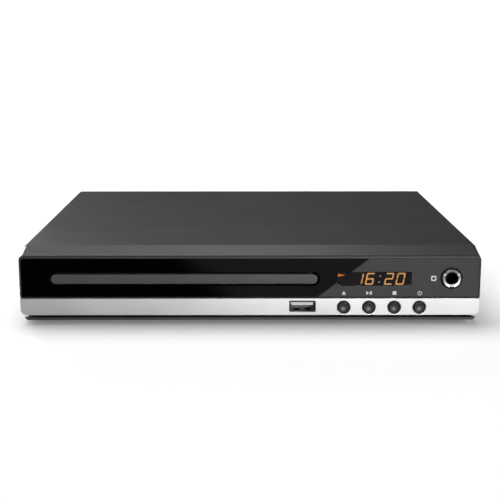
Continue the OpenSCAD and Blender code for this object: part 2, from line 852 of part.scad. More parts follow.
module loader_chassis() {
    tall_wall_top = loader_top;
    color([0.22, 0.22, 0.23]) at_loader() difference() {
        union() {
            block([-loader_half, loader_front, loader_z], [loader_half, loader_rear, loader_floor]);
            for (s = [-1, 1]) {
                x = s * (guide_x + loader_wall / 2);
                block([x - loader_wall / 2, loader_front, loader_z],
                    [x + loader_wall / 2, loader_rear, tall_wall_top]);
                block([x - loader_wall / 2, arm_front, rail_z],
                    [x + loader_wall / 2, loader_front + 1, tall_wall_top - 1.5]);
                rail_x = s * (guide_x - rail_w / 2 + 0.25);
                block([rail_x - rail_w / 2 - 0.25, arm_front, rail_z],
                    [rail_x + rail_w / 2 + 0.25, tray_rear + 3, rail_z + rail_t]);
                lip_x = s * (guide_x - lip_w / 2 + 0.25);
                for (y = [arm_front, disc_y - 30, disc_y + 20, tray_rear - 20])
                    block([lip_x - lip_w / 2 - 0.25, y, lip_z],
                        [lip_x + lip_w / 2 + 0.25, y + 12, lip_z + lip_t]);
                pivot_lug(s);
            }
            block([-loader_half, loader_rear - loader_wall, loader_z],
                [loader_half, loader_rear, tray_z - 1]);
            block([-guide_x - 0.5, deck_front, deck_z], [guide_x + 0.5, deck_rear, deck_top]);
            block([-guide_x, deck_rear - 1.4, loader_z], [guide_x, deck_rear, deck_top]);
            for (x = [-12, 22])
                block([x - 2, cam_y + cam_t + 0.2, loader_z],
                    [x + 2, cam_y + cam_t + 1.6, loader_floor + 5]);
            for (at = loader_feet_at) translate([at[0], at[1], floor_top])
                cylinder(h = loader_floor - floor_top, r = foot_post_r);
            translate([tray_gear_x, drive_y, deck_z])
                cylinder(h = tray_under - 0.25 - deck_z, r = post_r);
            translate([pulley_x, drive_y, deck_z])
                cylinder(h = pulley_z + pulley_t + 0.5 - deck_z, r = post_r);
        }
        block([-bay_half, bay_front, loader_z - 1], [bay_half, bay_rear, loader_floor + 1]);
        translate([motor_x, drive_y, floor_z])
            cylinder(h = deck_z - floor_z - 0.5, r = loading_motor_r + 0.6);
        translate([motor_x, drive_y, deck_z - 1]) cylinder(h = 4, r = 3.1);
        for (at = loader_feet_at) translate([at[0], at[1], floor_z])
            cylinder(h = 6, r = shank_r);
        for (at = bridge_screws_at) translate([at[0], at[1], loader_top - 5])
            cylinder(h = 8, r = bridge_screw_r, $fn = 24);
    }
}

bridge_screw_r = 0.6;
bridge_screws_at = [for (s = [-1, 1], y = [-7, 7])
    [s * (guide_x + loader_wall / 2), disc_y + y]];

// Bearing block of the traverse on side s of the bay
module pivot_lug(s) {
    x = s * (bay_half + 2.6);
    difference() {
        block([x - 2, pivot_y - 5, loader_z], [x + 2, pivot_y + 5, pivot_z + 4]);
        rod_x(x - 3, pivot_y, pivot_z, 6, pivot_r + bore_play);
    }
}

module disc_tray() {
    r = well_d / 2;
    chamfer = 0.7;
    pocket_y = disc_y + r + 5;
    color([0.12, 0.12, 0.13]) at_loader() difference() {
        union() {
            block([-tray_w / 2, tray_front, tray_under], [tray_w / 2, tray_rear, tray_top]);
            for (s = [-1, 1]) {
                x = s * (tray_w - skirt_t) / 2;
                block([x - skirt_t / 2, tray_front, tray_z],
                    [x + skirt_t / 2, tray_rear, tray_top]);
            }
            block([-tray_w / 2, tray_front, tray_z],
                [tray_w / 2, tray_front + skirt_t, tray_top]);
            translate([rack_pitch_x, drive_y, tray_z]) linear_extrude(rack_h + 0.1)
                rack_2d(rack_module, rack_back - rack_pitch_x, tray_front + 6 - drive_y,
                    tray_rear - drive_y - 1);
        }
        translate([0, disc_y, well_z]) cylinder(h = well_depth + 1, r = r, $fn = 128);
        translate([0, disc_y, tray_top - chamfer])
            cylinder(h = chamfer + 0.01, r1 = r - 0.01, r2 = r + chamfer, $fn = 128);
        translate([0, disc_y, well_z - small_well_depth])
            cylinder(h = 3, r = small_well_d / 2, $fn = 128);
        translate([0, disc_y, tray_z - 1]) cylinder(h = tray_h + 2, r = slot_w / 2);
        block([-slot_w / 2, disc_y, tray_z - 1], [slot_w / 2, tray_rear + 1, tray_top + 1]);
        for (s = [-1, 1]) translate([s * (slot_w + tray_w) / 4, (pocket_y + tray_rear - 4) / 2,
            tray_top - 1]) linear_extrude(2)
            soft_rect((tray_w - slot_w) / 2 - 10, tray_rear - 4 - pocket_y, 3);
    }
}

module clamp_bridge() {
    rib_h = 1.8;
    color("silver") at_loader() difference() {
        union() {
            block([-loader_half, disc_y - bridge_w / 2, loader_top],
                [loader_half, disc_y + bridge_w / 2, loader_top + bridge_t]);
            translate([0, disc_y, loader_top]) cylinder(h = bridge_t, r = bridge_ring_r);
            for (s = [-1, 1], e = [-1, 1])
                block([s * 43 - 18, disc_y + e * (bridge_w / 2 - 0.5) - 0.5, loader_top],
                    [s * 43 + 18, disc_y + e * (bridge_w / 2 - 0.5) + 0.5,
                    loader_top + bridge_t + rib_h]);
        }
        translate([0, disc_y, loader_top - 1]) cylinder(h = 4, r = bridge_hole_r);
        for (at = bridge_screws_at) translate([at[0], at[1], loader_top - 1])
            cylinder(h = 4, r = bridge_screw_r + fit, $fn = 24);
    }
}

module clamp_puck() {
    disc_h = 1.6;
    flange_z = loader_top + bridge_t + 0.7;
    recess = hub_h - disc_t + 0.4;
    color("whitesmoke") at_loader() translate([0, disc_y, 0]) difference() {
        union() {
            translate([0, 0, puck_z]) cylinder(h = disc_h, r = puck_r);
            translate([0, 0, puck_z]) cylinder(h = flange_z - puck_z + 0.5, r = puck_neck_r);
            translate([0, 0, flange_z]) cylinder(h = 1.2, r = puck_flange_r);
        }
        translate([0, 0, puck_z - 1]) cylinder(h = recess + 1, r = hub_r + 0.8);
        translate([0, 0, flange_z]) cylinder(h = 2, r = puck_neck_r - 3);
    }
}

// ---------------------------------------------------------------- disc drive

module traverse_frame() {
    rib_z = pivot_z - pivot_r - 0.2;
    rib_w = 4;
    color([0.3, 0.3, 0.31]) at_loader() difference() {
        union() {
            block([-frame_half, frame_front, frame_z], [frame_half, frame_rear, frame_top]);
            for (s = [-1, 1]) {
                x = s * (frame_half - rib_w / 2);
                block([x - rib_w / 2, frame_front, rib_z], [x + rib_w / 2, frame_rear, frame_top]);
                rod_x(x - rib_w / 2 - (s < 0 ? bay_half + 4 - frame_half : 0), pivot_y, pivot_z,
                    rib_w + bay_half + 4 - frame_half, pivot_r);
                for (y = [rod_front, rod_rear - 5])
                    block([s * rod_x - 3, y, rib_z], [s * rod_x + 3, y + 5, frame_top]);
            }
            block([-frame_half, frame_front, rib_z], [frame_half, frame_front + 2, frame_top]);
            for (y = [screw_front, screw_rear])
                block([screw_x - 3, y, screw_z - 2.6], [screw_x + 3, y + 2.4, frame_top]);
            rod_y(0, pivot_z, cam_y + 0.3, frame_front - cam_y, follower_r);
        }
        block([-window_half, window_front, frame_z - 1], [window_half, window_rear, frame_top + 1]);
        translate([0, disc_y, frame_z - 6]) cylinder(h = 12, r = spindle_motor_r + fit);
        for (s = [-1, 1]) rod_y(s * rod_x, rod_z, rod_front + 1, rod_rear - rod_front - 2, rod_r);
        rod_y(screw_x, screw_z, screw_front - 1, screw_rear - screw_front + 6,
            screw_r + bore_play);
    }
}

module guide_rods() {
    color("silver") at_loader() for (s = [-1, 1])
        rod_y(s * rod_x, rod_z, rod_front + 1, rod_rear - rod_front - 2, rod_r);
}

module optical_pickup() {
    nut_y = pickup_y + 10;
    nut_l = 6;
    cover_t = 1.2;
    color([0.45, 0.46, 0.48]) at_loader() difference() {
        union() {
            block([-pickup_half, pickup_y, pickup_z], [pickup_half, pickup_y + pickup_l, pickup_top]);
            block([-12, pickup_y + 0.6, pickup_top - 0.5],
                [12, pickup_y + 14, pickup_top + cover_t]);
            translate([0, lens_y, pickup_top]) cylinder(h = 2.4, r1 = 6, r2 = lens_r + 0.8);
            block([pickup_half - 1, nut_y, screw_z - 2.2],
                [screw_x + 3, nut_y + nut_l, screw_z + 2.2]);
        }
        rod_y(-rod_x, rod_z, pickup_y - 1, pickup_l + 2, rod_r + bore_play);
        rod_y(rod_x, rod_z, pickup_y - 1, pickup_l + 2, rod_r + bore_play);
        block([rod_x, pickup_y - 1, rod_z - rod_r - bore_play],
            [pickup_half - 2 + 1, pickup_y + pickup_l + 1, rod_z + rod_r + bore_play]);
        rod_y(screw_x, screw_z, nut_y - 1, nut_l + 2, screw_r + bore_play);
        for (s = [-1, 1]) block([s * 20 - 5, pickup_y + 8, pickup_z + 3],
            [s * 20 + 5, pickup_y + pickup_l - 4, pickup_top + 1]);
    }
}

module objective_lens() {
    color("lightblue") at_loader() translate([0, lens_y, pickup_top + 2.4]) {
        cylinder(h = 0.5, r = lens_r);
        translate([0, 0, 0.5]) cylinder(h = 0.4, r1 = lens_r - 0.6, r2 = lens_r - 1.6);
    }
}

module lead_screw() {
    end = screw_rear + 2.2;
    groove = 0.35;
    color("silver") at_loader() translate([screw_x, screw_front + 0.2, screw_z])
        rotate([-90, 0, 0]) difference() {
            cylinder(h = end - screw_front, r = screw_r);
            for (i = [0:17]) translate([0, 0, 4 + 3 * i]) rotate_extrude()
                polygon([[screw_r - groove, 0.6], [screw_r + 0.1, 0], [screw_r + 0.1, 1.2]]);
        }
}

module sled_motor() {
    color("gray") at_loader()
        rod_y(screw_x, screw_z, screw_front - sled_motor_l, sled_motor_l, sled_motor_r);
}

module spindle_motor() {
    plate = 27;
    color("gray") at_loader() translate([0, disc_y, 0]) {
        translate([0, 0, frame_top - 7]) cylinder(h = 7, r = spindle_motor_r);
        translate([-plate / 2, -plate / 2, frame_top]) cube([plate, plate - 1, spindle_plate_t]);
        translate([0, 0, frame_top]) cylinder(h = disc_z - turntable_t - frame_top - 1, r = 1);
    }
}

module turntable() {
    rim = 1.2;
    lead_in = 0.7;
    color("black") at_loader() translate([0, disc_y, 0]) difference() {
        union() {
            translate([0, 0, rotor_z]) cylinder(h = disc_z - rotor_z - 1, r = turntable_r - 2);
            translate([0, 0, disc_z - turntable_t]) cylinder(h = turntable_t, r = turntable_r);
            translate([0, 0, disc_z]) cylinder(h = hub_h - lead_in, r = hub_r);
            translate([0, 0, disc_z + hub_h - lead_in])
                cylinder(h = lead_in, r1 = hub_r, r2 = hub_r - 1.1);
        }
        translate([0, 0, rotor_z - 1])
            cylinder(h = disc_z - turntable_t - rotor_z + 0.5, r = 1 + bore_play);
        translate([0, 0, rotor_z - 1]) difference() {
            cylinder(h = 2.4, r = turntable_r - 2 - rim);
            cylinder(h = 3, r = 3);
        }
    }
}

// Sloping slot that raises and lowers the front of the traverse
module cam_slot() {
    translate([-cam_stroke / 2, pivot_z - cam_drop / 2]) rotate(cam_slope)
        slot_2d(cam_stroke / cos(cam_slope), 2 * (follower_r + 0.2));
}

module cam_slider() {
    right = 8;
    tail = 24;
    color("whitesmoke") at_loader() {
        upright(cam_y, cam_t) difference() {
            union() {
                translate([-cam_stroke - 6, cam_z])
                    square([cam_stroke + 6 + right, pivot_z + 4 - cam_z]);
                translate([0, cam_z]) square([right + tail, 4]);
            }
            cam_slot();
        }
    }
}

module loading_motor() {
    color("silver") at_loader() translate([motor_x, drive_y, 0]) {
        translate([0, 0, deck_z - loading_motor_h])
            cylinder(h = loading_motor_h, r = loading_motor_r);
        translate([0, 0, deck_z]) cylinder(h = deck_t, r = 3);
        translate([0, 0, deck_top]) cylinder(h = pulley_z + pulley_t - deck_top + 0.3, r = 0.8);
    }
}

// Grooved wheel for the belt
module belt_wheel(r) {
    lip = (pulley_t - belt_t) / 2 - 0.05;
    cylinder(h = lip, r = r);
    translate([0, 0, lip]) cylinder(h = pulley_t - 2 * lip, r = r - groove_depth);
    translate([0, 0, pulley_t - lip]) cylinder(h = lip, r = r);
}

module motor_pulley() {
    color("whitesmoke") at_loader() translate([motor_x, drive_y, pulley_z]) difference() {
        belt_wheel(motor_pulley_r);
        translate([0, 0, -1]) cylinder(h = pulley_t + 2, r = 0.85);
    }
}

module drive_belt() {
    near = 0.12;
    r0 = motor_pulley_r - groove_depth + near;
    r1 = pulley_r - groove_depth + near;
    color([0.08, 0.08, 0.08]) at_loader()
        translate([0, drive_y, pulley_z + (pulley_t - belt_t) / 2])
            linear_extrude(belt_t) difference() {
                belt_outline(motor_x, r0 + belt_t, pulley_x, r1 + belt_t);
                belt_outline(motor_x, r0, pulley_x, r1);
            }
}

module pulley_gear() {
    color("whitesmoke") at_loader() translate([pulley_x, drive_y, 0]) difference() {
        union() {
            translate([0, 0, train_z]) rotate(180 / small_teeth)
                linear_extrude(pulley_z - train_z + 0.1) gear_2d(train_module, small_teeth);
            translate([0, 0, pulley_z]) belt_wheel(pulley_r);
        }
        translate([0, 0, train_z - 1]) cylinder(h = 9, r = post_r + bore_play);
    }
}

module tray_gear() {
    pinion_z = tray_z + 0.15;
    color("whitesmoke") at_loader() translate([tray_gear_x, drive_y, 0]) difference() {
        union() {
            translate([0, 0, train_z]) linear_extrude(gear_t) gear_2d(train_module, wheel_teeth);
            translate([0, 0, train_z]) cylinder(h = pinion_z - train_z + 0.1, r = 4);
            translate([0, 0, pinion_z]) linear_extrude(tray_under - 0.25 - pinion_z)
                gear_2d(rack_module, pinion_teeth);
        }
        translate([0, 0, train_z - 1]) cylinder(h = 12, r = post_r + bore_play);
    }
}

module loader_screws() {
    color("silver") at_loader() {
        for (at = loader_feet_at) translate([at[0], at[1], floor_z]) rotate([180, 0, 0])
            screw(5);
        for (at = bridge_screws_at) translate([at[0], at[1], loader_top + bridge_t]) {
            cylinder(h = 0.8, r = 0.95, $fn = 24);
            translate([0, 0, -4]) cylinder(h = 4, r = bridge_screw_r, $fn = 24);
        }
    }
}

// ---------------------------------------------------------------- boards and rear sockets

// A board with clearance holes for its screws
module board(x0, x1, y0, y1, z, holes) {
    color("darkgreen") at_front() difference() {
        block([x0, y0, z], [x1, y1, z + board_t]);
        for (at = holes) translate([at[0], at[1], z - 1])
            cylinder(h = board_t + 2, r = shank_r + fit, $fn = 32);
    }
}

module main_board() { board(board_x0, board_x1, main_y0, main_y1, main_z, main_holes); }
module power_board() { board(board_x0, board_x1, power_y0, power_y1, main_z, power_holes); }
module jack_board() {
    board(rear_board_x0, rear_board_x1, rear_board_y0, rear_wall_y - 0.3, rear_board_z, rear_holes);
}

module board_screws() {
    color("silver") at_front() {
        for (at = concat(main_holes, power_holes))
            translate([at[0], at[1], main_z + board_t]) screw(5);
        for (at = rear_holes) translate([at[0], at[1], rear_board_z + board_t]) screw(5);
        for (at = board_bosses) translate([at[0], board_y + board_t, at[1]])
            rotate([-90, 0, 0]) screw(5);
        for (x = bezel_lugs_at) translate([x, bezel_lug_y, floor_z]) rotate([180, 0, 0])
            screw(3);
    }
}

chip_x = (board_x0 + board_x1) / 2;
chip_y = (main_y0 + main_y1) / 2;
chip_t = 2;
main_top = main_z + board_t;

module main_chips() {
    color([0.1, 0.1, 0.1]) at_front() {
        block([chip_x - 12, chip_y - 12, main_top], [chip_x + 12, chip_y + 12, main_top + chip_t]);
        for (i = [0:1]) block([chip_x + 18, chip_y - 16 + 18 * i, main_top],
            [chip_x + 28, chip_y - 2 + 18 * i, main_top + 1.2]);
        block([chip_x - 30, chip_y + 22, main_top], [chip_x - 18, chip_y + 32, main_top + 1.6]);
    }
}

module heat_sink() {
    fins = 7;
    w = 22;
    color("silver") at_front() translate([chip_x - w / 2, chip_y - w / 2, main_top + chip_t]) {
        cube([w, w, 1.6]);
        for (i = [0:fins - 1]) translate([i * (w - 1.2) / (fins - 1), 0, 1.5]) cube([1.2, w, 7]);
    }
}

module transformer() {
    x = board_x0 + 26;
    y = power_y0 + 32;
    color([0.7, 0.6, 0.3]) at_front() {
        difference() {
            block([x - 13, y - 11, main_top], [x + 13, y + 11, main_top + 19]);
            for (s = [-1, 1]) block([x - 8, y + s * 13 - 6, main_top + 4],
                [x + 8, y + s * 13 + 6, main_top + 15]);
        }
    }
}

module power_capacitors() {
    color([0.15, 0.2, 0.4]) at_front() {
        translate([board_x0 + 58, power_y0 + 18, main_top]) cylinder(h = 22, r = 8);
        for (i = [0:2]) translate([board_x0 + 12 + 13 * i, power_y0 + 12, main_top])
            cylinder(h = 13, r = 4.5, $fn = 32);
        translate([board_x0 + 20, power_y1 - 18, main_top]) cylinder(h = 16, r = 5, $fn = 32);
    }
}

// One barrel and the collar that fills its hole in the rear wall
module phono_barrel(x, z) {
    y0 = rear_wall_y - 1;
    rod_y(x, z, y0, rear_face_y + phono_l - y0, phono_r);
    rod_y(x, z, y0, rear_face_y + phono_collar - y0, phono_r + phono_collar);
}

module phono_sockets() {
    body_y = rear_board_y0 + 6;
    color([0.1, 0.1, 0.1]) at_front() difference() {
        union() {
            block([phono_x - phono_pitch_x / 2, body_y, rear_board_z + board_t],
                [phono_x + (phono_cols - 0.5) * phono_pitch_x, rear_wall_y,
                phono_z + phono_pitch_z + 6]);
            for (i = [0:phono_cols - 1], j = [0, 1])
                phono_barrel(phono_x + i * phono_pitch_x, phono_z + j * phono_pitch_z);
        }
        for (i = [0:phono_cols - 1], j = [0, 1])
            rod_y(phono_x + i * phono_pitch_x, phono_z + j * phono_pitch_z, rear_wall_y,
                20, phono_r - phono_wall - 2);
    }
}

module video_socket() {
    z = rear_board_z + board_t;
    front = rear_face_y - 11;
    color("silver") at_front() {
        upright(front, rear_face_y + 0.6 - front) translate([video_x, z]) difference() {
            polygon([[-video_w / 2 + 1.6, 0], [video_w / 2 - 1.6, 0], [video_w / 2, 2],
                [video_w / 2, video_h], [-video_w / 2, video_h], [-video_w / 2, 2]]);
            polygon([[-video_w / 2 + 2, 0.5], [video_w / 2 - 2, 0.5], [video_w / 2 - 0.5, 2.2],
                [video_w / 2 - 0.5, video_h - 0.5], [0.5 - video_w / 2, video_h - 0.5],
                [0.5 - video_w / 2, 2.2]]);
        }
        block([video_x - video_w / 2 + 0.2, front, z + 2], [video_x + video_w / 2 - 0.2, front + 1,
            z + video_h - 0.2]);
        block([video_x - 5.5, front, z + 2.2], [video_x + 5.5, rear_face_y - 1, z + 3.2]);
    }
}

module mains_inlet() {
    depth = 12;
    lip = 1.5;
    color([0.1, 0.1, 0.1]) at_front() {
        difference() {
            union() {
                upright(rear_face_y - 17, 17) translate([inlet_x, inlet_z])
                    square([inlet_w, inlet_h], center = true);
                upright(rear_face_y, lip) translate([inlet_x, inlet_z])
                    soft_rect(inlet_w + 4, inlet_h + 2, 2);
            }
            upright(rear_face_y + lip - depth, depth + 1) translate([inlet_x, inlet_z])
                slot_2d(8, 8);
        }
        for (s = [-1, 1])
            rod_y(inlet_x + s * 4.3, inlet_z, rear_face_y + lip - depth - 1, depth - 1, 1.15);
    }
}

// Flat cables: they lie on their boards at both ends
module ribbon_cables() {
    t = 0.4;
    w = 14;
    z = main_top;
    start = board_y + board_t;
    rear_cable_y = rear_board_y0 + 9.2;
    color("lightgray") at_front() {
        sideways(chip_x - w / 2, w) polygon([[start, board_low + 3], [start + 3, board_low + 3],
            [main_y0 + 6, z + 3], [main_y0 + 6, z], [main_y0 + 6 - t, z], [main_y0 + 6 - t, z + 3 - t],
            [start + 3, board_low + 3 - t], [start, board_low + 3 - t]]);
        sideways(chip_x - w / 2, w) polygon([[main_y1 - 6, z], [main_y1 - 6, z + 6],
            [power_y0 + 6, z + 6], [power_y0 + 6, z], [power_y0 + 6 - t, z],
            [power_y0 + 6 - t, z + 6 - t], [main_y1 - 6 + t, z + 6 - t], [main_y1 - 6 + t, z]]);
        corridor = (loader_x + loader_half + board_x0) / 2;
        translate([0, 0, rear_board_z + board_t]) linear_extrude(6)
            polygon([[rear_board_x1 - 8, rear_cable_y], [corridor + t, rear_cable_y],
                [corridor + t, main_y1 - 16], [board_x0 + 4, main_y1 - 16],
                [board_x0 + 4, main_y1 - 16 - t], [corridor, main_y1 - 16 - t],
                [corridor, rear_cable_y - t], [rear_board_x1 - 8, rear_cable_y - t]]);
    }
}

bottom_chassis();
top_cover();
front_bezel();
gloss_panel();
silver_strip();
display_filter();
tray_door();
eject_button();
play_button();
stop_button();
power_button();
jack_collar();
jack_nut();
microphone_jack();
usb_socket();
rubber_feet();
cover_screws();
loader_chassis();
disc_tray();
clamp_bridge();
clamp_puck();
traverse_frame();
guide_rods();
optical_pickup();
objective_lens();
lead_screw();
sled_motor();
spindle_motor();
turntable();
cam_slider();
loading_motor();
motor_pulley();
drive_belt();
pulley_gear();
tray_gear();
loader_screws();
front_board();
led_display();
tact_switches();
infrared_receiver();
main_board();
main_chips();
heat_sink();
power_board();
transformer();
power_capacitors();
jack_board();
phono_sockets();
video_socket();
mains_inlet();
ribbon_cables();
board_screws();
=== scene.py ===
"""Looks of a slim disc player with a loading tray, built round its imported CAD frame.

The player lies on the plane under its feet: +X to the right, the front towards -Y, +Z up.
Every length is in metres; a value that is easier to read in millimetres is times MM.
"""

from __future__ import annotations

import json
import logging
import math
from collections.abc import Callable
from dataclasses import dataclass
from enum import Enum

import bmesh
import bpy
from bmesh.types import BMEdge, BMesh, BMVert
from bpy.types import ID, Material, Mesh, MeshPolygon, Node, NodeSocket, NodeTree, Object
from mathutils import Matrix, Vector

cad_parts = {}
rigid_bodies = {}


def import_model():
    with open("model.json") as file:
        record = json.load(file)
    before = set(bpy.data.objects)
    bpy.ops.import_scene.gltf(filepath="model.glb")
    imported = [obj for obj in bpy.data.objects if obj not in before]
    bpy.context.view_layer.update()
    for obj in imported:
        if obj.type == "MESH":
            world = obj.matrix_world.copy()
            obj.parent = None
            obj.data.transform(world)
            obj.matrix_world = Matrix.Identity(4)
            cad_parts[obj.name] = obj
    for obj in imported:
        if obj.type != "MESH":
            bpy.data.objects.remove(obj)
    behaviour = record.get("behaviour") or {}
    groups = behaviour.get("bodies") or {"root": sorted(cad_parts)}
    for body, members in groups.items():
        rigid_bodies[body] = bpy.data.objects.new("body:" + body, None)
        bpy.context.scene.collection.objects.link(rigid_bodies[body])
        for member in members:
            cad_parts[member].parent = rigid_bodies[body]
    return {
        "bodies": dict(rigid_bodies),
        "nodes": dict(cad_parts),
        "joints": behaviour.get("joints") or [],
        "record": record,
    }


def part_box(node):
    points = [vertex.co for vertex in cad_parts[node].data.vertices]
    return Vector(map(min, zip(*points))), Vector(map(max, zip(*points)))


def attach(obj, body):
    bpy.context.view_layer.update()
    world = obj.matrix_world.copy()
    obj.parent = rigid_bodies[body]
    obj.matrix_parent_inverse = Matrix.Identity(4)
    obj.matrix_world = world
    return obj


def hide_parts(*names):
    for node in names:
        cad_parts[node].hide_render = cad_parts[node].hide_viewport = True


MM = 0.001
SEAM = 0.0001 * MM  # points that lie nearer than this are one
CASING = "casing"
Colour = tuple[float, float, float]
Area = tuple[float, float, float, float]
Profile = tuple[tuple[float, float], ...]
Setting = float | tuple[float, ...] | NodeSocket
ColourMaker = Callable[[NodeTree], NodeSocket]
log = logging.getLogger("disc_player")


# --- nodes


def feed(tree: NodeTree, node: Node, inputs: dict[str | int, Setting]) -> Node:
    """Sets a node's inputs, or links them where a socket is given.

    Args:
        tree: the tree of the node.
        node: the node.
        inputs: value or socket of each input; a colour is given without its alpha.

    Returns:
        The node.
    """
    for name, value in inputs.items():
        socket = node.inputs[name]
        if isinstance(value, NodeSocket):
            tree.links.new(value, socket)
        else:
            socket.default_value = (*value, 1.0) if socket.type == "RGBA" else value
    return node


def add_node(tree: NodeTree, kind: str, inputs: dict[str | int, Setting] | None = None,
             **settings: str | NodeTree) -> Node:
    """Adds a node.

    Args:
        tree: where it goes.
        kind: its type, without the ShaderNode in front.
        inputs: value or socket of each of its inputs.
        settings: its other properties.

    Returns:
        The node.
    """
    node = tree.nodes.new("ShaderNode" + kind)
    for name, value in settings.items():
        setattr(node, name, value)
    return feed(tree, node, inputs or {})


def blended(tree: NodeTree, share: NodeSocket, low: Setting, high: Setting) -> NodeSocket:
    """Mixes two colours, low where share is 0 and high where it is 1; returns the socket."""
    return add_node(tree, "Mix", {"Factor": share, "A": low, "B": high},
                    data_type="RGBA").outputs["Result"]


# --- finishes


class Texture(Enum):
    """Small-scale surface of a finish, with the stretch of its noise along X, Y and Z."""

    FINE = (1.0, 1.0, 1.0)
    BRUSHED_X = (0.02, 1.0, 1.0)
    BRUSHED_Y = (1.0, 0.02, 1.0)
    TURNED = (0.15, 1.0, 0.15)


@dataclass(frozen=True)
class Finish:
    """One finish of the player.

    Args:
        slot: the record's material slot, or the name of an extra finish.
        colour: linear base colour.
        tint: linear colour that the noise mixes in.
        metallic: 0 for plastics and paint, 1 for bare metal.
        roughness: middle of the roughness.
        spread: how far smudges move the roughness either way.
        grain: grains to the metre of the texture.
        height: depth of the texture.
        texture: the kind of small-scale surface.
        specular: strength of the reflection of a plastic.
        coat: weight of a clear coat.
        transmission: how clear the material is.
        glow: strength of its own light.
    """

    slot: str
    colour: Colour
    tint: Colour
    metallic: float = 0.0
    roughness: float = 0.5
    spread: float = 0.05
    grain: float = 2500.0
    height: float = 1e-5
    texture: Texture = Texture.FINE
    specular: float = 0.5
    coat: float = 0.0
    transmission: float = 0.0
    glow: float = 0.0


def grey(value: float) -> Colour:
    """Returns a neutral linear colour."""
    return (value, value, value)


FINISHES = (
    Finish("cover_paint", (0.019, 0.019, 0.02), grey(0.023), roughness=0.42, grain=3000.0,
           height=6e-6),
    Finish("chassis_steel", (0.05, 0.05, 0.052), grey(0.07), metallic=0.6, roughness=0.4,
           texture=Texture.BRUSHED_X, grain=1500.0, height=3e-6),
    Finish("bezel_plastic", (0.026, 0.026, 0.0275), grey(0.031), roughness=0.38, grain=3500.0,
           height=5e-6, specular=0.28),
    Finish("silver_strip", (0.74, 0.74, 0.75), grey(0.8), metallic=1.0, roughness=0.34,
           texture=Texture.BRUSHED_X, height=2e-6),
    Finish("door_plastic", (0.05, 0.05, 0.052), grey(0.062), roughness=0.33,
           texture=Texture.BRUSHED_Y, grain=900.0, height=1e-6),
    Finish("button_plastic", (0.024, 0.024, 0.025), grey(0.028), roughness=0.42, specular=0.9),
    Finish("black_plastic", grey(0.003), grey(0.006), roughness=0.3, specular=0.15),
    Finish("tray_plastic", (0.014, 0.014, 0.015), grey(0.02), roughness=0.45, height=2e-5),
    Finish("loader_plastic", (0.012, 0.012, 0.013), grey(0.018), height=2e-5),
    Finish("white_plastic", (0.72, 0.71, 0.67), (0.78, 0.76, 0.72), roughness=0.4),
    Finish("foot_rubber", grey(0.01), grey(0.02), roughness=0.8, height=4e-5),
    Finish("belt_rubber", grey(0.008), grey(0.015), roughness=0.7, height=2e-5),
    Finish("bright_chrome", (0.82, 0.82, 0.83), grey(0.88), metallic=1.0, roughness=0.12,
           spread=0.04, texture=Texture.TURNED, height=1e-6),
    Finish("plated_steel", (0.62, 0.62, 0.6), grey(0.7), metallic=1.0, roughness=0.28,
           grain=600.0, height=2e-6),
    Finish("cast_alloy", (0.5, 0.5, 0.51), grey(0.6), metallic=1.0, grain=1800.0, height=3e-5),
    Finish("lens_glass", (0.7, 0.8, 0.95), (0.65, 0.72, 0.95), roughness=0.03, spread=0.01,
           height=0.0, transmission=0.6, coat=0.5),
    Finish("board_green", (0.012, 0.09, 0.03), (0.02, 0.12, 0.04), roughness=0.35, grain=700.0,
           coat=0.4),
    Finish("chip_black", (0.012, 0.012, 0.013), grey(0.02), roughness=0.55, height=2e-5),
    Finish("winding_tape", (0.75, 0.55, 0.08), (0.8, 0.62, 0.14), roughness=0.4),
    Finish("capacitor_sleeve", (0.015, 0.02, 0.05), (0.02, 0.026, 0.06), roughness=0.25),
    Finish("cable_grey", (0.42, 0.42, 0.44), grey(0.5), texture=Texture.BRUSHED_Y,
           grain=1100.0, height=2e-5),
    Finish("display_body", (0.006, 0.004, 0.007), (0.01, 0.006, 0.011), roughness=0.6,
           specular=0.1),
    Finish("white_ink", (0.75, 0.75, 0.74), grey(0.8), roughness=0.6, height=2e-6),
    Finish("amber_light", (0.97, 0.72, 0.155), (0.97, 0.74, 0.17), glow=1.75),
    Finish("pale_light", (0.6, 0.75, 0.55), (0.6, 0.75, 0.55), glow=1.2),
    Finish("orange_light", (0.95, 0.4, 0.04), (0.95, 0.42, 0.05), glow=1.6),
    Finish("recess_shadow", grey(0.006), grey(0.01), roughness=0.7),
    # painted shade: a darker copy of plated steel, used on the inside of the USB shell
    Finish("shaded_steel", grey(0.34), grey(0.38), metallic=1.0, roughness=0.45, height=0.0),
    Finish("gloss_panel", grey(0.0), grey(0.01), roughness=0.08, spread=0.02, height=0.0,
           specular=0.03),
    Finish("filter", (0.30, 0.22, 0.28), (0.30, 0.22, 0.28), roughness=0.03, spread=0.01,
           height=0.0, transmission=1.0, specular=0.05),
    Finish("insert_red", (0.5, 0.012, 0.012), (0.52, 0.02, 0.02), roughness=0.35),
    Finish("insert_green", (0.02, 0.28, 0.06), (0.03, 0.3, 0.08), roughness=0.35),
    Finish("insert_blue", (0.015, 0.06, 0.45), (0.02, 0.08, 0.5), roughness=0.35),
)


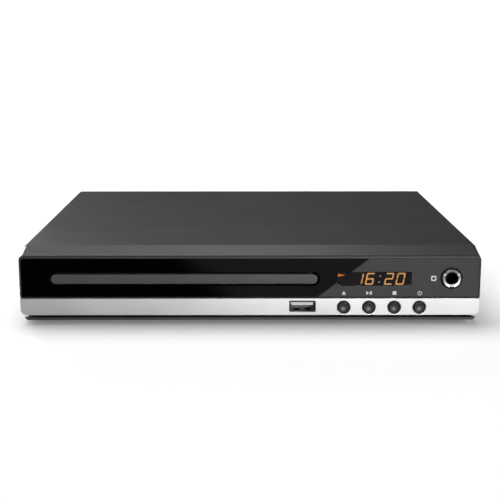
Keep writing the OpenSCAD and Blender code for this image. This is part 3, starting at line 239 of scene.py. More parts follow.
class SharedNoise:
    """The node group of fine texture, mottle and smudges that every finish uses."""

    FINE_DETAIL = 2.0
    MOTTLE_DETAIL = 3.0
    MOTTLE_SHARE = 0.12  # of the grains to the metre of the fine texture
    SMUDGE_DETAIL = 4.0
    SMUDGES_PER_METRE = 35.0

    def __init__(self) -> None:
        """Builds the group once."""
        tree = bpy.data.node_groups.new("surface_noise", "ShaderNodeTree")
        for name, kind in (("Place", "Vector"), ("Grain", "Float"), ("Stretch", "Vector")):
            tree.interface.new_socket(name, in_out="INPUT", socket_type="NodeSocket" + kind)
        given = tree.nodes.new("NodeGroupInput").outputs
        stretched = add_node(tree, "VectorMath",
                             {0: given["Place"], 1: given["Stretch"]}, operation="MULTIPLY")
        coarser = add_node(tree, "Math", {0: given["Grain"], 1: self.MOTTLE_SHARE},
                           operation="MULTIPLY")
        noises = {
            "Height": (stretched.outputs[0], given["Grain"], self.FINE_DETAIL),
            "Mix": (stretched.outputs[0], coarser.outputs[0], self.MOTTLE_DETAIL),
            "Smudge": (given["Place"], self.SMUDGES_PER_METRE, self.SMUDGE_DETAIL)}
        for name in noises:
            tree.interface.new_socket(name, in_out="OUTPUT", socket_type="NodeSocketFloat")
        out = tree.nodes.new("NodeGroupOutput")
        for name, (place, scale, detail) in noises.items():
            noise = add_node(tree, "TexNoise",
                             {"Vector": place, "Scale": scale, "Detail": detail})
            feed(tree, out, {name: noise.outputs["Fac"]})
        self.tree = tree


class Paintbox:
    """Makes and keeps the materials."""

    COAT_ROUGHNESS = 0.06

    def __init__(self) -> None:
        """Builds the shared group and every material."""
        self.noise = SharedNoise()
        patterns = {"gloss_panel": GlossPanelPaint().colour}
        self.by_slot = {finish.slot: self.mix(finish, patterns.get(finish.slot))
                        for finish in FINISHES}

    def mix(self, finish: Finish, pattern: ColourMaker | None = None) -> Material:
        """Makes the material of a finish.

        Args:
            finish: what to make.
            pattern: adds the base colour's nodes, where the noise doesn't mix the colours.

        Returns:
            The material.
        """
        made = bpy.data.materials.new(finish.slot)
        made.use_nodes = True
        tree = made.node_tree
        place = add_node(tree, "TexCoord").outputs["Object"]
        noise = add_node(tree, "Group", node_tree=self.noise.tree)
        feed(tree, noise, {"Place": place, "Grain": finish.grain,
                           "Stretch": finish.texture.value})
        rough = add_node(tree, "MapRange", {
            "Value": noise.outputs["Smudge"], "To Min": finish.roughness - finish.spread,
            "To Max": finish.roughness + finish.spread})
        base = pattern(tree) if pattern else blended(tree, noise.outputs["Mix"], finish.colour,
                                                     finish.tint)
        shader = feed(tree, tree.nodes["Principled BSDF"], {
            "Base Color": base, "Metallic": finish.metallic,
            "Roughness": rough.outputs["Result"], "Specular IOR Level": finish.specular,
            "Coat Weight": finish.coat, "Coat Roughness": self.COAT_ROUGHNESS,
            "Transmission Weight": finish.transmission, "Emission Strength": finish.glow,
            "Emission Color": finish.colour})
        if finish.height > 0.0:
            bump = add_node(tree, "Bump", {
                "Height": noise.outputs["Height"], "Distance": finish.height})
            feed(tree, shader, {"Normal": bump.outputs["Normal"]})
        return made


@dataclass(frozen=True)
class SlantedLine:
    """A line on the front, and how softly it parts what is left of it from what is right.

    Args:
        x: X of one of its points.
        z: Z of that point.
        run: change of its X for each length of Z.
        half: half the width of the change.
    """

    x: float
    z: float
    run: float
    half: float

    def mask(self, tree: NodeTree, split: Node) -> NodeSocket:
        """Adds the mask that is 1 to the right of the line.

        Args:
            tree: the material's tree.
            split: node with the point's X and Z.

        Returns:
            The socket with the mask.
        """
        across = add_node(tree, "Math", {
            0: split.outputs["Z"], 1: -self.run, 2: split.outputs["X"]},
            operation="MULTIPLY_ADD")
        middle = self.x - self.run * self.z
        return add_node(tree, "MapRange", {
            "Value": across.outputs[0], "From Min": middle - self.half,
            "From Max": middle + self.half}, interpolation_type="SMOOTHSTEP").outputs["Result"]


@dataclass(frozen=True)
class GlossPanelPaint:
    """High-gloss panel: black at the left that eases into a painted reflection, a slanted edge,
    dark grey at its right.

    Args:
        black: colour of the left end.
        painted_sheen: colour of the painted reflection that the black eases into.
        field: colour right of the slanted edge.
        reflection_fade: where the black eases into the painted reflection.
        edge: the slanted edge.
    """

    black: Colour = (0.0, 0.0, 0.0)
    # painted reflection: a slightly lighter tone on the black that stands in for a soft reflection
    painted_sheen: Colour = (0.0105, 0.0105, 0.0108)
    field: Colour = (0.078, 0.078, 0.08)
    reflection_fade: SlantedLine = SlantedLine(-21.4 * MM, 25.0 * MM, -1.0, 13.0 * MM)
    edge: SlantedLine = SlantedLine(35.55 * MM, 14.7 * MM, 1.302, 0.06 * MM)

    def colour(self, tree: NodeTree) -> NodeSocket:
        """Adds the nodes of the panel's colour.

        Args:
            tree: the panel's material tree.

        Returns:
            The socket with the colour.
        """
        point = add_node(tree, "TexCoord").outputs["Object"]
        split = add_node(tree, "SeparateXYZ", {0: point})
        # painted reflection: the black eases into a lighter tone before the slanted edge
        left = blended(tree, self.reflection_fade.mask(tree, split), self.black, self.painted_sheen)
        return blended(tree, self.edge.mask(tree, split), left, self.field)


# --- making


def span(node: str) -> tuple[Vector, Vector, float, float]:
    """Returns a CAD node's lowest and highest corner, and its middle's X and Z."""
    low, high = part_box(node)
    return low, high, (low.x + high.x) / 2, (low.z + high.z) / 2


def placed(name: str, data: ID) -> Object:
    """Puts a new object into the scene.

    Args:
        name: its name.
        data: the mesh, light or camera that it holds.

    Returns:
        The object.
    """
    made = bpy.data.objects.new(name, data)
    bpy.context.scene.collection.objects.link(made)
    return made


def new_mesh(shape: BMesh, name: str) -> Mesh:
    """Turns a bmesh into a mesh.

    Args:
        shape: the bmesh, which is freed.
        name: name of the mesh.

    Returns:
        The mesh.
    """
    mesh = bpy.data.meshes.new(name)
    shape.to_mesh(mesh)
    shape.free()
    return mesh


def rounded(shape: BMesh, parts: list[BMEdge | BMVert], width: float, steps: int,
            affect: str = "EDGES") -> None:
    """Rounds edges, or corners where affect is VERTICES, with steps faces across the width."""
    bmesh.ops.bevel(shape, geom=parts, offset=width, offset_type="OFFSET", segments=steps,
                    profile=0.5, affect=affect, clamp_overlap=True, material=-1)


class Workshop:
    """Loads the frame, and makes, dresses and places pieces round it."""

    SAME_POINT = 0.001 * MM
    IN_PLANE = 0.01 * MM
    FLAT = 0.3  # degrees between two faces that count as one
    CORNER = 30.0  # degrees between two faces of an edge that is rounded

    def __init__(self) -> None:
        """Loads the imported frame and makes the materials."""
        self.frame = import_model()
        self.paint = Paintbox()
        self.slot_of = {part["node"]: part["material_slot"]
                        for part in self.frame["record"]["subparts"]}
        groups = self.frame["record"]["behaviour"]["bodies"]
        self.body_of = {node: body for body, nodes in groups.items() for node in nodes}
        self.made = 0

    def dress_nodes(self) -> None:
        """Gives every CAD node the material of its slot."""
        for name, node in self.frame["nodes"].items():
            material = self.paint.by_slot[self.slot_of[name]]
            if not node.material_slots:
                node.data.materials.append(material)
            for place in node.material_slots:
                place.material = material

    def add(self, name: str, shape: BMesh, node: str | None = None,
            slot: str | None = None, finish: str | None = None,
            sharp: float = 30.0) -> Object:
        """Places a finished shape as a piece, on the casing or in the place of a CAD node.

        Args:
            name: name of the piece.
            shape: its bmesh, in the frame's own place, which is freed.
            node: CAD node that it stands for, if there is one, with its body and slot.
            slot: the record's slot of its finish, where it stands for no node.
            finish: name of its material, where that isn't the slot's own.
            sharp: angle from which an edge stays sharp, in degrees.

        Returns:
            The new object.
        """
        body, slot = self.body_of.get(node, CASING), self.slot_of.get(node, slot)
        mesh = new_mesh(shape, name)
        if "custom_normal" in mesh.attributes:
            mesh.attributes.remove(mesh.attributes["custom_normal"])
        for face in mesh.polygons:
            face.use_smooth = True
        mesh.set_sharp_from_angle(angle=math.radians(sharp))
        mesh.materials.clear()
        mesh.materials.append(self.paint.by_slot[finish or slot])
        piece = placed(name, mesh)
        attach(piece, body)
        if node is not None:
            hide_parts(node)
        self.made += 1
        log.info("%s: %d faces on %s", name, len(mesh.polygons), body)
        return piece

    def soften(self, node: str, width: float, steps: int = 3, front_only: bool = False) -> Object:
        """Replaces a CAD node by a copy whose sharp edges are rounded.

        Args:
            node: the CAD node.
            width: width of the rounding.
            steps: faces across it.
            front_only: round only the edges that lie in the node's front plane.

        Returns:
            The new object.
        """
        shape = bmesh.new()
        shape.from_mesh(self.frame["nodes"][node].data)
        bmesh.ops.remove_doubles(shape, verts=shape.verts, dist=self.SAME_POINT)
        bmesh.ops.dissolve_limit(shape, angle_limit=math.radians(self.FLAT), verts=shape.verts,
                                 edges=shape.edges, use_dissolve_boundaries=False)
        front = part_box(node)[0].y + self.IN_PLANE
        edges = [edge for edge in shape.edges
                 if edge.is_manifold and edge.calc_face_angle(0.0) > math.radians(self.CORNER)
                 and not (front_only and max(v.co.y for v in edge.verts) > front)]
        rounded(shape, edges, width, steps)
        piece = self.add("soft_" + node, shape, node, sharp=40.0)
        level = piece.modifiers.new("level_faces", "WEIGHTED_NORMAL")
        level.keep_sharp = True
        level.weight = 100
        return piece

    def second_finish(self, piece: Object, finish: str,
                      test: Callable[[MeshPolygon], bool]) -> None:
        """Gives the faces that pass a test another material.

        Args:
            piece: the piece.
            finish: name of the other material.
            test: says of a face whether it gets the material.
        """
        piece.data.materials.append(self.paint.by_slot[finish])
        index = len(piece.data.materials) - 1
        for face in piece.data.polygons:
            if test(face):
                face.material_index = index


def turned(shape: BMesh, profile: Profile, x: float, z: float, start: float = 0.0,
           sweep: float = 360.0, steps: int = 64, closed: bool = False) -> None:
    """Turns a profile round a line along Y.

    Args:
        shape: the bmesh that it goes into.
        profile: points of radius and Y, one after the other.
        x: X of the line.
        z: Z of the line.
        start: first angle from +X towards +Z, in degrees.
        sweep: angle that it covers, in degrees.
        steps: faces round the whole sweep.
        closed: join the last point to the first.
    """
    verts = [shape.verts.new((x + radius, y, z)) for radius, y in profile]
    pairs = list(zip(verts, verts[1:]))
    if closed:
        pairs.append((verts[-1], verts[0]))
    edges = [shape.edges.new(pair) for pair in pairs]
    turn = Matrix.Rotation(math.radians(-start), 3, "Y")
    bmesh.ops.rotate(shape, verts=verts, cent=(x, 0.0, z), matrix=turn)
    whole = sweep >= 360.0
    bmesh.ops.spin(shape, geom=[*verts, *edges], cent=(x, 0.0, z), axis=(0.0, -1.0, 0.0),
                   angle=math.radians(sweep), steps=steps, use_merge=whole)
    if closed and not whole:
        open_edges = [edge for edge in shape.edges if edge.is_boundary]
        bmesh.ops.holes_fill(shape, edges=open_edges, sides=0)
    bmesh.ops.remove_doubles(shape, verts=shape.verts, dist=SEAM)
    bmesh.ops.recalc_face_normals(shape, faces=shape.faces)


class Print:
    """Thin raised shapes on one upright plane that faces the front."""

    ARC_STEP = 12.0  # degrees to each face of an arc
    LEAST_STEPS = 4  # faces of the shortest arc

    def __init__(self, plane_y: float, thickness: float) -> None:
        """Starts an empty print.

        Args:
            plane_y: Y of the plane that carries it.
            thickness: how far it stands in front of the plane.
        """
        self.shape = bmesh.new()
        self.plane_y = plane_y
        self.thickness = thickness

    def _place(self, verts: list[BMVert], area: Area) -> None:
        """Moves a flat unit shape to its place.

        Args:
            verts: its vertices, in the XY plane round the origin.
            area: X and Z of its middle, and its scale along X and Z.
        """
        x, z, w, h = area
        size = Matrix.Diagonal((w, h, 1.0, 1.0))
        stand = Matrix.Rotation(math.radians(90.0), 4, "X")
        move = Matrix.Translation((x, self.plane_y, z))
        bmesh.ops.transform(self.shape, matrix=move @ stand @ size, verts=verts)

    def bar(self, area: Area, corner: float = 0.0) -> None:
        """Adds a rectangle, its corners cut at 45 degrees when corner is given.

        Args:
            area: X and Z of its middle, width and height.
            corner: how much of each corner is cut.
        """
        verts = bmesh.ops.create_grid(self.shape, x_segments=1, y_segments=1, size=0.5)["verts"]
        self._place(verts, area)
        if corner > 0.0:
            rounded(self.shape, verts, corner, 1, "VERTICES")

    def polygon(self, area: Area, corners: int, turn: float) -> None:
        """Adds a filled regular polygon.

        Args:
            area: X and Z of its middle, and its scale along X and Z.
            corners: number of corners.
            turn: angle of its first corner from +Y, in degrees.
        """
        made = bmesh.ops.create_circle(self.shape, cap_ends=True, radius=0.5, segments=corners,
                                       matrix=Matrix.Rotation(math.radians(turn), 4, "Z"))
        self._place(made["verts"], area)

    def ring(self, x: float, z: float, radius: float, width: float, start: float,
             sweep: float) -> None:
        """Adds a flat arc.

        Args:
            x: X of its middle.
            z: Z of its middle.
            radius: middle radius.
            width: width of the line.
            start: first angle from +X, in degrees.
            sweep: angle that it covers, in degrees.
        """
        verts = [self.shape.verts.new((radius + s * width / 2, 0.0, 0.0)) for s in (-1, 1)]
        edge = self.shape.edges.new(verts)
        bmesh.ops.rotate(self.shape, verts=verts, cent=(0, 0, 0),
                         matrix=Matrix.Rotation(math.radians(start), 3, "Z"))
        before = set(self.shape.verts)
        steps = max(self.LEAST_STEPS, int(sweep / self.ARC_STEP))
        bmesh.ops.spin(self.shape, geom=[*verts, edge], cent=(0, 0, 0), axis=(0, 0, 1),
                       angle=math.radians(sweep), steps=steps)
        arc = verts + [v for v in self.shape.verts if v not in before]
        self._place(arc, (x, z, 1.0, 1.0))

    def raised(self) -> BMesh:
        """Gives the shapes their thickness.

        Returns:
            The bmesh with the shapes.
        """
        top = bmesh.ops.extrude_face_region(self.shape, geom=self.shape.faces[:])
        new = [v for v in top["geom"] if isinstance(v, BMVert)]
        bmesh.ops.translate(self.shape, verts=new, vec=(0.0, -self.thickness, 0.0))
        bmesh.ops.recalc_face_normals(self.shape, faces=self.shape.faces)
        return self.shape


# --- sub-assemblies


@dataclass
class FrontPrints:
    """White symbols on the gloss panel, and the mark beside the jack.

    Args:
        button_x: X of the first symbol.
        pitch: distance from one symbol to the next.
        z: Z of their middles.
        size: height of a symbol.
        mark_x: X of the mark beside the jack.
        mark_z: Z of the mark.
        mark_half: distance from its middle to the middle of its line.
        mark_line: width of its line.
        hair: how much narrower the line is at its corners.
        rise: thickness of the ink.
    """

    button_x: float = 49.3 * MM
    pitch: float = 13.3 * MM
    z: float = 16.85 * MM
    size: float = 2.0 * MM
    mark_x: float = 96.3 * MM
    mark_z: float = 24.7 * MM
    mark_half: float = 1.05 * MM
    mark_line: float = 0.65 * MM
    hair: float = 0.02 * MM
    rise: float = 0.03 * MM

    def build(self, shop: Workshop) -> None:
        """Adds the symbols.

        Args:
            shop: the workshop.
        """
        ink = Print(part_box("gloss_panel")[0].y, self.rise)
        self._eject(ink, self.button_x)
        self._play(ink, self.button_x + self.pitch)
        ink.bar((self.button_x + 2 * self.pitch, self.z, self.size, self.size))
        self._power(ink, self.button_x + 3 * self.pitch)
        self._mark(ink)
        shop.add("panel_symbols", ink.raised(), finish="white_ink")

    def _eject(self, ink: Print, x: float) -> None:
        """Adds a triangle over a bar.

        Args:
            ink: the print that it goes into.
            x: X of its middle.
        """
        s = self.size
        ink.polygon((x, self.z + 0.05 * s, 1.15 * s, 0.95 * s), 3, 0.0)
        ink.bar((x, self.z - 0.42 * s, s, 0.18 * s))

    def _play(self, ink: Print, x: float) -> None:
        """Adds a triangle and two bars.

        Args:
            ink: the print that it goes into.
            x: X of its middle.
        """
        s = self.size
        ink.polygon((x - 0.5 * s, self.z, 1.15 * s, 1.15 * s), 3, -90.0)
        for shift in (0.3, 0.6):
            ink.bar((x + shift * s, self.z, 0.2 * s, s))

    def _power(self, ink: Print, x: float) -> None:
        """Adds an open ring and a bar.

        Args:
            ink: the print that it goes into.
            x: X of its middle.
        """
        s = self.size
        ink.ring(x, self.z - 0.05 * s, 0.5 * s, 0.17 * s, 125.0, 290.0)
        ink.bar((x, self.z + 0.3 * s, 0.17 * s, 0.55 * s))

    def _mark(self, ink: Print) -> None:
        """Adds a small square frame with rounded corners.

        Args:
            ink: the print that it goes into.
        """
        half, line = self.mark_half, self.mark_line
        inner = half - line / 2
        for turn in range(4):
            angle = math.radians(90.0 * turn)
            dx, dz = round(math.cos(angle)), round(math.sin(angle))
            w, h = (line, 2 * inner) if turn % 2 == 0 else (2 * inner, line)
            ink.bar((self.mark_x + half * dx, self.mark_z + half * dz, w, h))
            ink.ring(self.mark_x + inner * (dx - dz), self.mark_z + inner * (dx + dz),
                     (line + self.hair) / 2, line - self.hair, 90.0 * turn, 90.0)


@dataclass
class Display:
    """Clock digits and symbols behind the filter.

    Args:
        low_z: Z of the digits' lower edge.
        digit_w: width of a digit.
        digit_h: height of a digit.
        line: width of a segment.
        lean: slant of the digits, in degrees.
        gap: room between two segments.
        cut: how much of a segment's corners is cut, as a share of its width.
        trim: how much shorter a segment is than the room it has, as a share of its width.
        digits: lit segments of each digit, and the X of its lower left corner.
        dots: X and Z of the dots of the colon.
        dot: width of a dot.
        dot_sides: number of its sides.
        arrow: X and Z of the play symbol, and its scale along X and Z.
        behind: room between the filter and the lit shapes.
        rise: thickness of the lit shapes.
    """

    low_z: float = 21.05 * MM
    digit_w: float = 4.4 * MM
    digit_h: float = 6.45 * MM
    line: float = 0.78 * MM
    lean: float = 11.0
    gap: float = 0.17 * MM
    cut: float = 0.48
    trim: float = 0.1
    digits: tuple[tuple[str, float], ...] = (
        ("bc", 54.35 * MM), ("acdefg", 60.15 * MM), ("abged", 70.2 * MM), ("abcdef", 76.2 * MM))
    dots: Profile = ((68.35 * MM, 25.8 * MM), (67.8 * MM, 22.55 * MM))
    dot: float = 0.95 * MM
    dot_sides: int = 12
    arrow: Area = (47.4 * MM, 26.25 * MM, 5.0 * MM, 2.0 * MM)
    behind: float = 0.12 * MM
    rise: float = 0.05 * MM

    def build(self, shop: Workshop) -> None:
        """Adds the lit segments, the colon and the play symbol.

        Args:
            shop: the workshop.
        """
        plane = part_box("display_filter")[1].y + self.behind
        amber, pale, orange = (Print(plane, self.rise) for _ in range(3))
        for names, x in self.digits:
            for name in names:
                self._segment(amber, name, x)
        self._slant(amber)
        for x, z in self.dots:
            pale.polygon((x, z, self.dot, self.dot), self.dot_sides, 0.0)
        orange.polygon(self.arrow, 3, -90.0)
        for name, lit, finish in (("clock_digits", amber, "amber_light"),
                                  ("clock_colon", pale, "pale_light"),
                                  ("play_symbol", orange, "orange_light")):
            shop.add(name, lit.raised(), slot="display_body", finish=finish)

    def _segment(self, amber: Print, name: str, x: float) -> None:
        """Adds one segment, not yet slanted.

        Args:
            amber: the print it goes into.
            name: letter of the segment, a to g.
            x: X of the digit's left edge.
        """
        w, h, t, corner = self.digit_w, self.digit_h, self.line, self.line * self.cut
        less = self.trim * t + 2 * self.gap
        across = {"a": h - t / 2, "g": h / 2, "d": t / 2}
        if name in across:
            amber.bar((x + w / 2, self.low_z + across[name], w - less, t), corner)
            return
        side = t / 2 if name in "ef" else w - t / 2
        z = h * 0.75 - t / 4 if name in "bf" else h * 0.25 + t / 4
        amber.bar((x + side, self.low_z + z, t, h / 2 - less), corner)

    def _slant(self, amber: Print) -> None:
        """Leans every digit to the right.

        Args:
            amber: the print with the digits.
        """
        lean = Matrix.Identity(4)
        lean[0][2] = math.tan(math.radians(self.lean))
        base = Matrix.Translation((0.0, 0.0, self.low_z))
        bmesh.ops.transform(amber.shape, matrix=base @ lean @ base.inverted(),
                            verts=amber.shape.verts)


@dataclass
class Button:
    """One dished push button, turned from the front of its cap to the end of its stem.

    Args:
        node: the CAD node it stands for.
        cap_r: radius of the cap.
        rim: radius of the rounding round its front.
        dish: depth of the dish.
        flange_r: radius of the collar behind the bezel.
        flange_y: distance of the collar behind the cap's front.
        flange_t: thickness of the collar.
        stem_r: radius of the stem.
        bowl_steps: faces from the middle of the dish to its rim.
        rim_steps: faces across the rounding.
    """

    node: str
    cap_r: float = 2.55 * MM
    rim: float = 0.22 * MM
    dish: float = 0.6 * MM
    flange_r: float = 3.05 * MM
    flange_y: float = 4.0 * MM
    flange_t: float = 0.8 * MM
    stem_r: float = 1.1 * MM
    bowl_steps: int = 8
    rim_steps: int = 6

    def build(self, shop: Workshop) -> None:
        """Adds the button.

        Args:
            shop: the workshop.
        """
        low, high, x, z = span(self.node)
        shape = bmesh.new()
        turned(shape, self.profile(low.y, high.y), x, z)
        shop.add("turned_" + self.node, shape, self.node, finish="button_plastic")

    def profile(self, front: float, back: float) -> Profile:
        """Gives the outline from the middle of the dish to the end of the stem.

        Args:
            front: Y of the cap's front.
            back: Y of the stem's end.

        Returns:
            Points of radius and Y.
        """
        edge_r = self.cap_r - self.rim
        shares = [step / self.bowl_steps for step in range(self.bowl_steps + 1)]
        bowl = [(edge_r * share, front + self.dish * (1.0 - share ** 2)) for share in shares]
        turns = [math.pi / 2 * step / self.rim_steps for step in range(1, self.rim_steps + 1)]
        lip = [(edge_r + self.rim * math.sin(turn), front + self.rim * (1.0 - math.cos(turn)))
               for turn in turns]
        collar = front + self.flange_y
        return (*bowl, *lip, (self.cap_r, collar), (self.flange_r, collar),
                (self.flange_r, collar + self.flange_t), (self.stem_r, collar + self.flange_t),
                (self.stem_r, back), (0.0, back))


@dataclass
class JackNut:
    """Sunk nut of the microphone jack, with three spanner slots.

    Args:
        bore_r: radius of its hole.
        outer_r: its outer radius.
        slot_depth: depth of the slots.
        slots: middle of each slot and half the angle that it takes, in degrees.
        face: radius and depth behind the front of the points of its sunk face.
        step_r: radius of the wider bore at its back.
        step_y: depth behind the front at which that starts.
        short: how far its back stays clear of what it sits against.
        overlap: how far the crown reaches into the base.
        steps: faces round each part of the crown.
    """

    bore_r: float = 3.25 * MM
    outer_r: float = 4.7 * MM
    slot_depth: float = 0.8 * MM
    slots: Profile = ((150.0, 3.0), (270.0, 15.0), (390.0, 3.0))
    face: Profile = ((3.25 * MM, 0.6 * MM), (3.35 * MM, 0.27 * MM), (3.55 * MM, 0.17 * MM),
                     (4.0 * MM, 0.09 * MM), (4.45 * MM, 0.02 * MM), (4.6 * MM, 0.0),
                     (4.7 * MM, 0.1 * MM))
    step_r: float = 4.2 * MM
    step_y: float = 0.9 * MM
    short: float = 0.1 * MM
    overlap: float = 0.01 * MM
    steps: int = 24

    def build(self, shop: Workshop) -> None:
        """Adds the nut.

        Args:
            shop: the workshop.
        """
        low, high, x, z = span("jack_nut")
        floor, step, back = low.y + self.slot_depth, low.y + self.step_y, high.y - self.short
        shape = bmesh.new()
        base = ((self.bore_r, floor), (self.outer_r, floor), (self.outer_r, back),
                (self.step_r, back), (self.step_r, step), (self.bore_r, step))
        turned(shape, base, x, z, closed=True)
        root = floor - self.overlap
        crown = (*((radius, low.y + depth) for radius, depth in self.face),
                 (self.outer_r, root), (self.bore_r, root))
        middle, half = self.slots[-1]
        end = middle - 360.0 + half
        for middle, half in self.slots:
            turned(shape, crown, x, z, end, middle - half - end, self.steps, closed=True)
            end = middle + half
        shop.add("sunk_nut", shape, "jack_nut", finish="plated_steel", sharp=50.0)


@dataclass
class UsbSocket:
    """Metal shell with painted shade on its front edge and on its inside, and the pale tongue
    inside it.

    Args:
        tongue_half: half the width of the tongue.
        tongue_low: lower face of the tongue above the socket's middle.
        tongue_high: its upper face above the socket's middle.
        tongue_y: depth of its end behind the shell's front.
        shell: thickness of the shell.
        rim: depth of the shell's front edge, which is painted dark as shade.
        edge: width of the rounding.
        near: how far outside its part a face's middle may lie.
    """

    tongue_half: float = 5.6 * MM
    tongue_low: float = 0.3 * MM
    tongue_high: float = 1.9 * MM
    tongue_y: float = 0.9 * MM
    shell: float = 0.35 * MM
    rim: float = 0.1 * MM
    edge: float = 0.08 * MM
    near: float = 0.02 * MM

    def build(self, shop: Workshop) -> None:
        """Adds the socket.

        Args:
            shop: the workshop.
        """
        piece = shop.soften("usb_socket", self.edge, steps=2)
        low, high, x, z = span("usb_socket")

        def in_tongue(face: MeshPolygon) -> bool:
            """Tests whether a face belongs to the tongue.

            Args:
                face: the face.

            Returns:
                True where it does.
            """
            at, near = face.center, self.near / 2
            return (abs(at.x - x) < self.tongue_half + near and at.y > low.y + self.tongue_y
                    and z + self.tongue_low - near < at.z < z + self.tongue_high + near)

        def in_shell(face: MeshPolygon) -> bool:
            """Tests whether a face is inside the shell.

            Args:
                face: the face.

            Returns:
                True where it is.
            """
            at = face.center
            return (abs(at.x - x) < (high.x - low.x) / 2 - self.shell + self.near
                    and abs(at.z - z) < (high.z - low.z) / 2 - self.shell + self.near)

        # painted shade: the inside of the shell gets a darker copy of the steel, and its front
        # edge the near-black recess finish
        shop.second_finish(piece, "shaded_steel", in_shell)
        shop.second_finish(piece, "recess_shadow",
                           lambda face: face.center.y < low.y + self.rim)
        shop.second_finish(piece, "white_plastic", in_tongue)


@dataclass
class Front:
    """Bezel, panel, strip, door, buttons and sockets of the front, with softened edges.

    Args:
        strip_edge: rounding of the strip.
        door_edge: rounding of the tray door.
        panel_edge: rounding of the gloss panel.
        bezel_edge: rounding of the bezel.
        collar_edge: rounding of the jack's collar.
        recess: depth from which the bezel's forward faces lie in shadow.
        forward: least part of a face's normal that points to the front there.
    """

    strip_edge: float = 0.3 * MM
    door_edge: float = 0.35 * MM
    panel_edge: float = 0.15 * MM
    bezel_edge: float = 0.1 * MM
    collar_edge: float = 0.08 * MM
    recess: float = 0.6 * MM
    forward: float = 0.9

    def build(self, shop: Workshop) -> None:
        """Adds the softened and turned pieces.

        Args:
            shop: the workshop.
        """
        for node, edge in (("silver_strip", self.strip_edge), ("tray_door", self.door_edge),
                           ("gloss_panel", self.panel_edge)):
            shop.soften(node, edge, front_only=True)
        bezel = shop.soften("front_bezel", self.bezel_edge, steps=2)
        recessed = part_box("front_bezel")[0].y + self.recess
        shop.second_finish(bezel, "recess_shadow", lambda face: (
            face.normal.y < -self.forward and face.center.y > recessed))
        shop.soften("jack_collar", self.collar_edge, steps=2)
        for name in ("eject", "play", "stop", "power"):
            Button(name + "_button").build(shop)
        JackNut().build(shop)
        UsbSocket().build(shop)


# --- rear


@dataclass
class PhonoSockets:
    """Phono sockets: a moulded body, bright sleeves and coloured inserts.

    Args:
        columns: X of the columns.
        rows: Z of the rows.
        colours: finish of each insert, row by row.
        sleeve_r: outer radius of a sleeve.
        wall: thickness of a sleeve.
        bore_r: radius of an insert's hole.
        length: how far a sleeve stands out of the rear wall.
        sheet: thickness of the rear wall.
        sunk: depth of an insert in its sleeve.
        lip: rounding of a sleeve's rim.
        collar: how much wider and how high the collar at a sleeve's foot is.
        overlap: how far it reaches into the sleeve.
        edge: rounding of the body.
    """

    columns: tuple[float, ...] = (-52.5 * MM, -38.5 * MM, -24.5 * MM)
    rows: tuple[float, ...] = (28.0 * MM, 15.0 * MM)
    colours: tuple[tuple[str, ...], ...] = (
        ("winding_tape", "white_plastic", "insert_red"),
        ("insert_green", "insert_blue", "insert_red"))
    sleeve_r: float = 4.15 * MM
    wall: float = 0.5 * MM
    bore_r: float = 1.65 * MM
    length: float = 8.8 * MM
    sheet: float = 0.8 * MM
    sunk: float = 0.5 * MM
    lip: float = 0.15 * MM
    collar: float = 0.2 * MM
    overlap: float = 0.01 * MM
    edge: float = 0.3 * MM

    def build(self, shop: Workshop) -> None:
        """Adds the sockets.

        Args:
            shop: the workshop.
        """
        low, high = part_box("phono_sockets")
        end, face = high.y, high.y - self.length
        block, sleeves = self._block(low, Vector((high.x, face - self.sheet, high.z))), bmesh.new()
        inserts: dict[str, BMesh] = {}
        for z, names in zip(self.rows, self.colours):
            for x, name in zip(self.columns, names):
                turned(block, self._collar(face), x, z, closed=True)
                turned(sleeves, self._sleeve(face, end), x, z, closed=True)
                turned(inserts.setdefault(name, bmesh.new()), self._insert(face, end), x, z,
                       closed=True)
        slot = shop.slot_of["phono_sockets"]
        shop.add("socket_body", block, "phono_sockets")
        shop.add("socket_sleeves", sleeves, slot=slot, finish="bright_chrome")
        for name, shape in inserts.items():
            shop.add("socket_inserts_" + name.split("_")[-1], shape, slot=slot, finish=name)

    def _block(self, low: Vector, high: Vector) -> BMesh:
        """Makes the body behind the rear wall.

        Args:
            low: its lowest corner.
            high: its highest corner.

        Returns:
            Its bmesh.
        """
        shape = bmesh.new()
        bmesh.ops.create_cube(shape, size=1.0)
        bmesh.ops.scale(shape, vec=high - low, verts=shape.verts)
        bmesh.ops.translate(shape, vec=(high + low) / 2, verts=shape.verts)
        rounded(shape, shape.edges[:], self.edge, 2)
        return shape

    def _collar(self, face: float) -> Profile:
        """Gives the outline of the collar at a sleeve's foot.

        Args:
            face: Y of the rear wall's outer face.

        Returns:
            Points of radius and Y.
        """
        inner, outer = self.sleeve_r - self.overlap, self.sleeve_r + self.collar
        low, high = face - self.sheet, face + self.collar
        return ((inner, low), (outer, low), (outer, high), (inner, high))

    def _sleeve(self, face: float, end: float) -> Profile:
        """Gives the outline of a sleeve.

        Args:
            face: Y of the rear wall's outer face.
            end: Y of the sleeve's end.

        Returns:
            Points of radius and Y.
        """
        outer, inner, low = self.sleeve_r, self.sleeve_r - self.wall, face - self.sheet
        return ((outer, low), (outer, end - self.lip), (outer - self.lip / 3, end - self.lip / 3),
                (outer - self.lip, end), (inner + self.lip / 2, end),
                (inner, end - self.lip / 2), (inner, low))

    def _insert(self, face: float, end: float) -> Profile:
        """Returns the outline of an insert."""
        outer, top = self.sleeve_r - self.wall, end - self.sunk
        return ((self.bore_r, top), (outer, top), (outer, face), (self.bore_r, face))


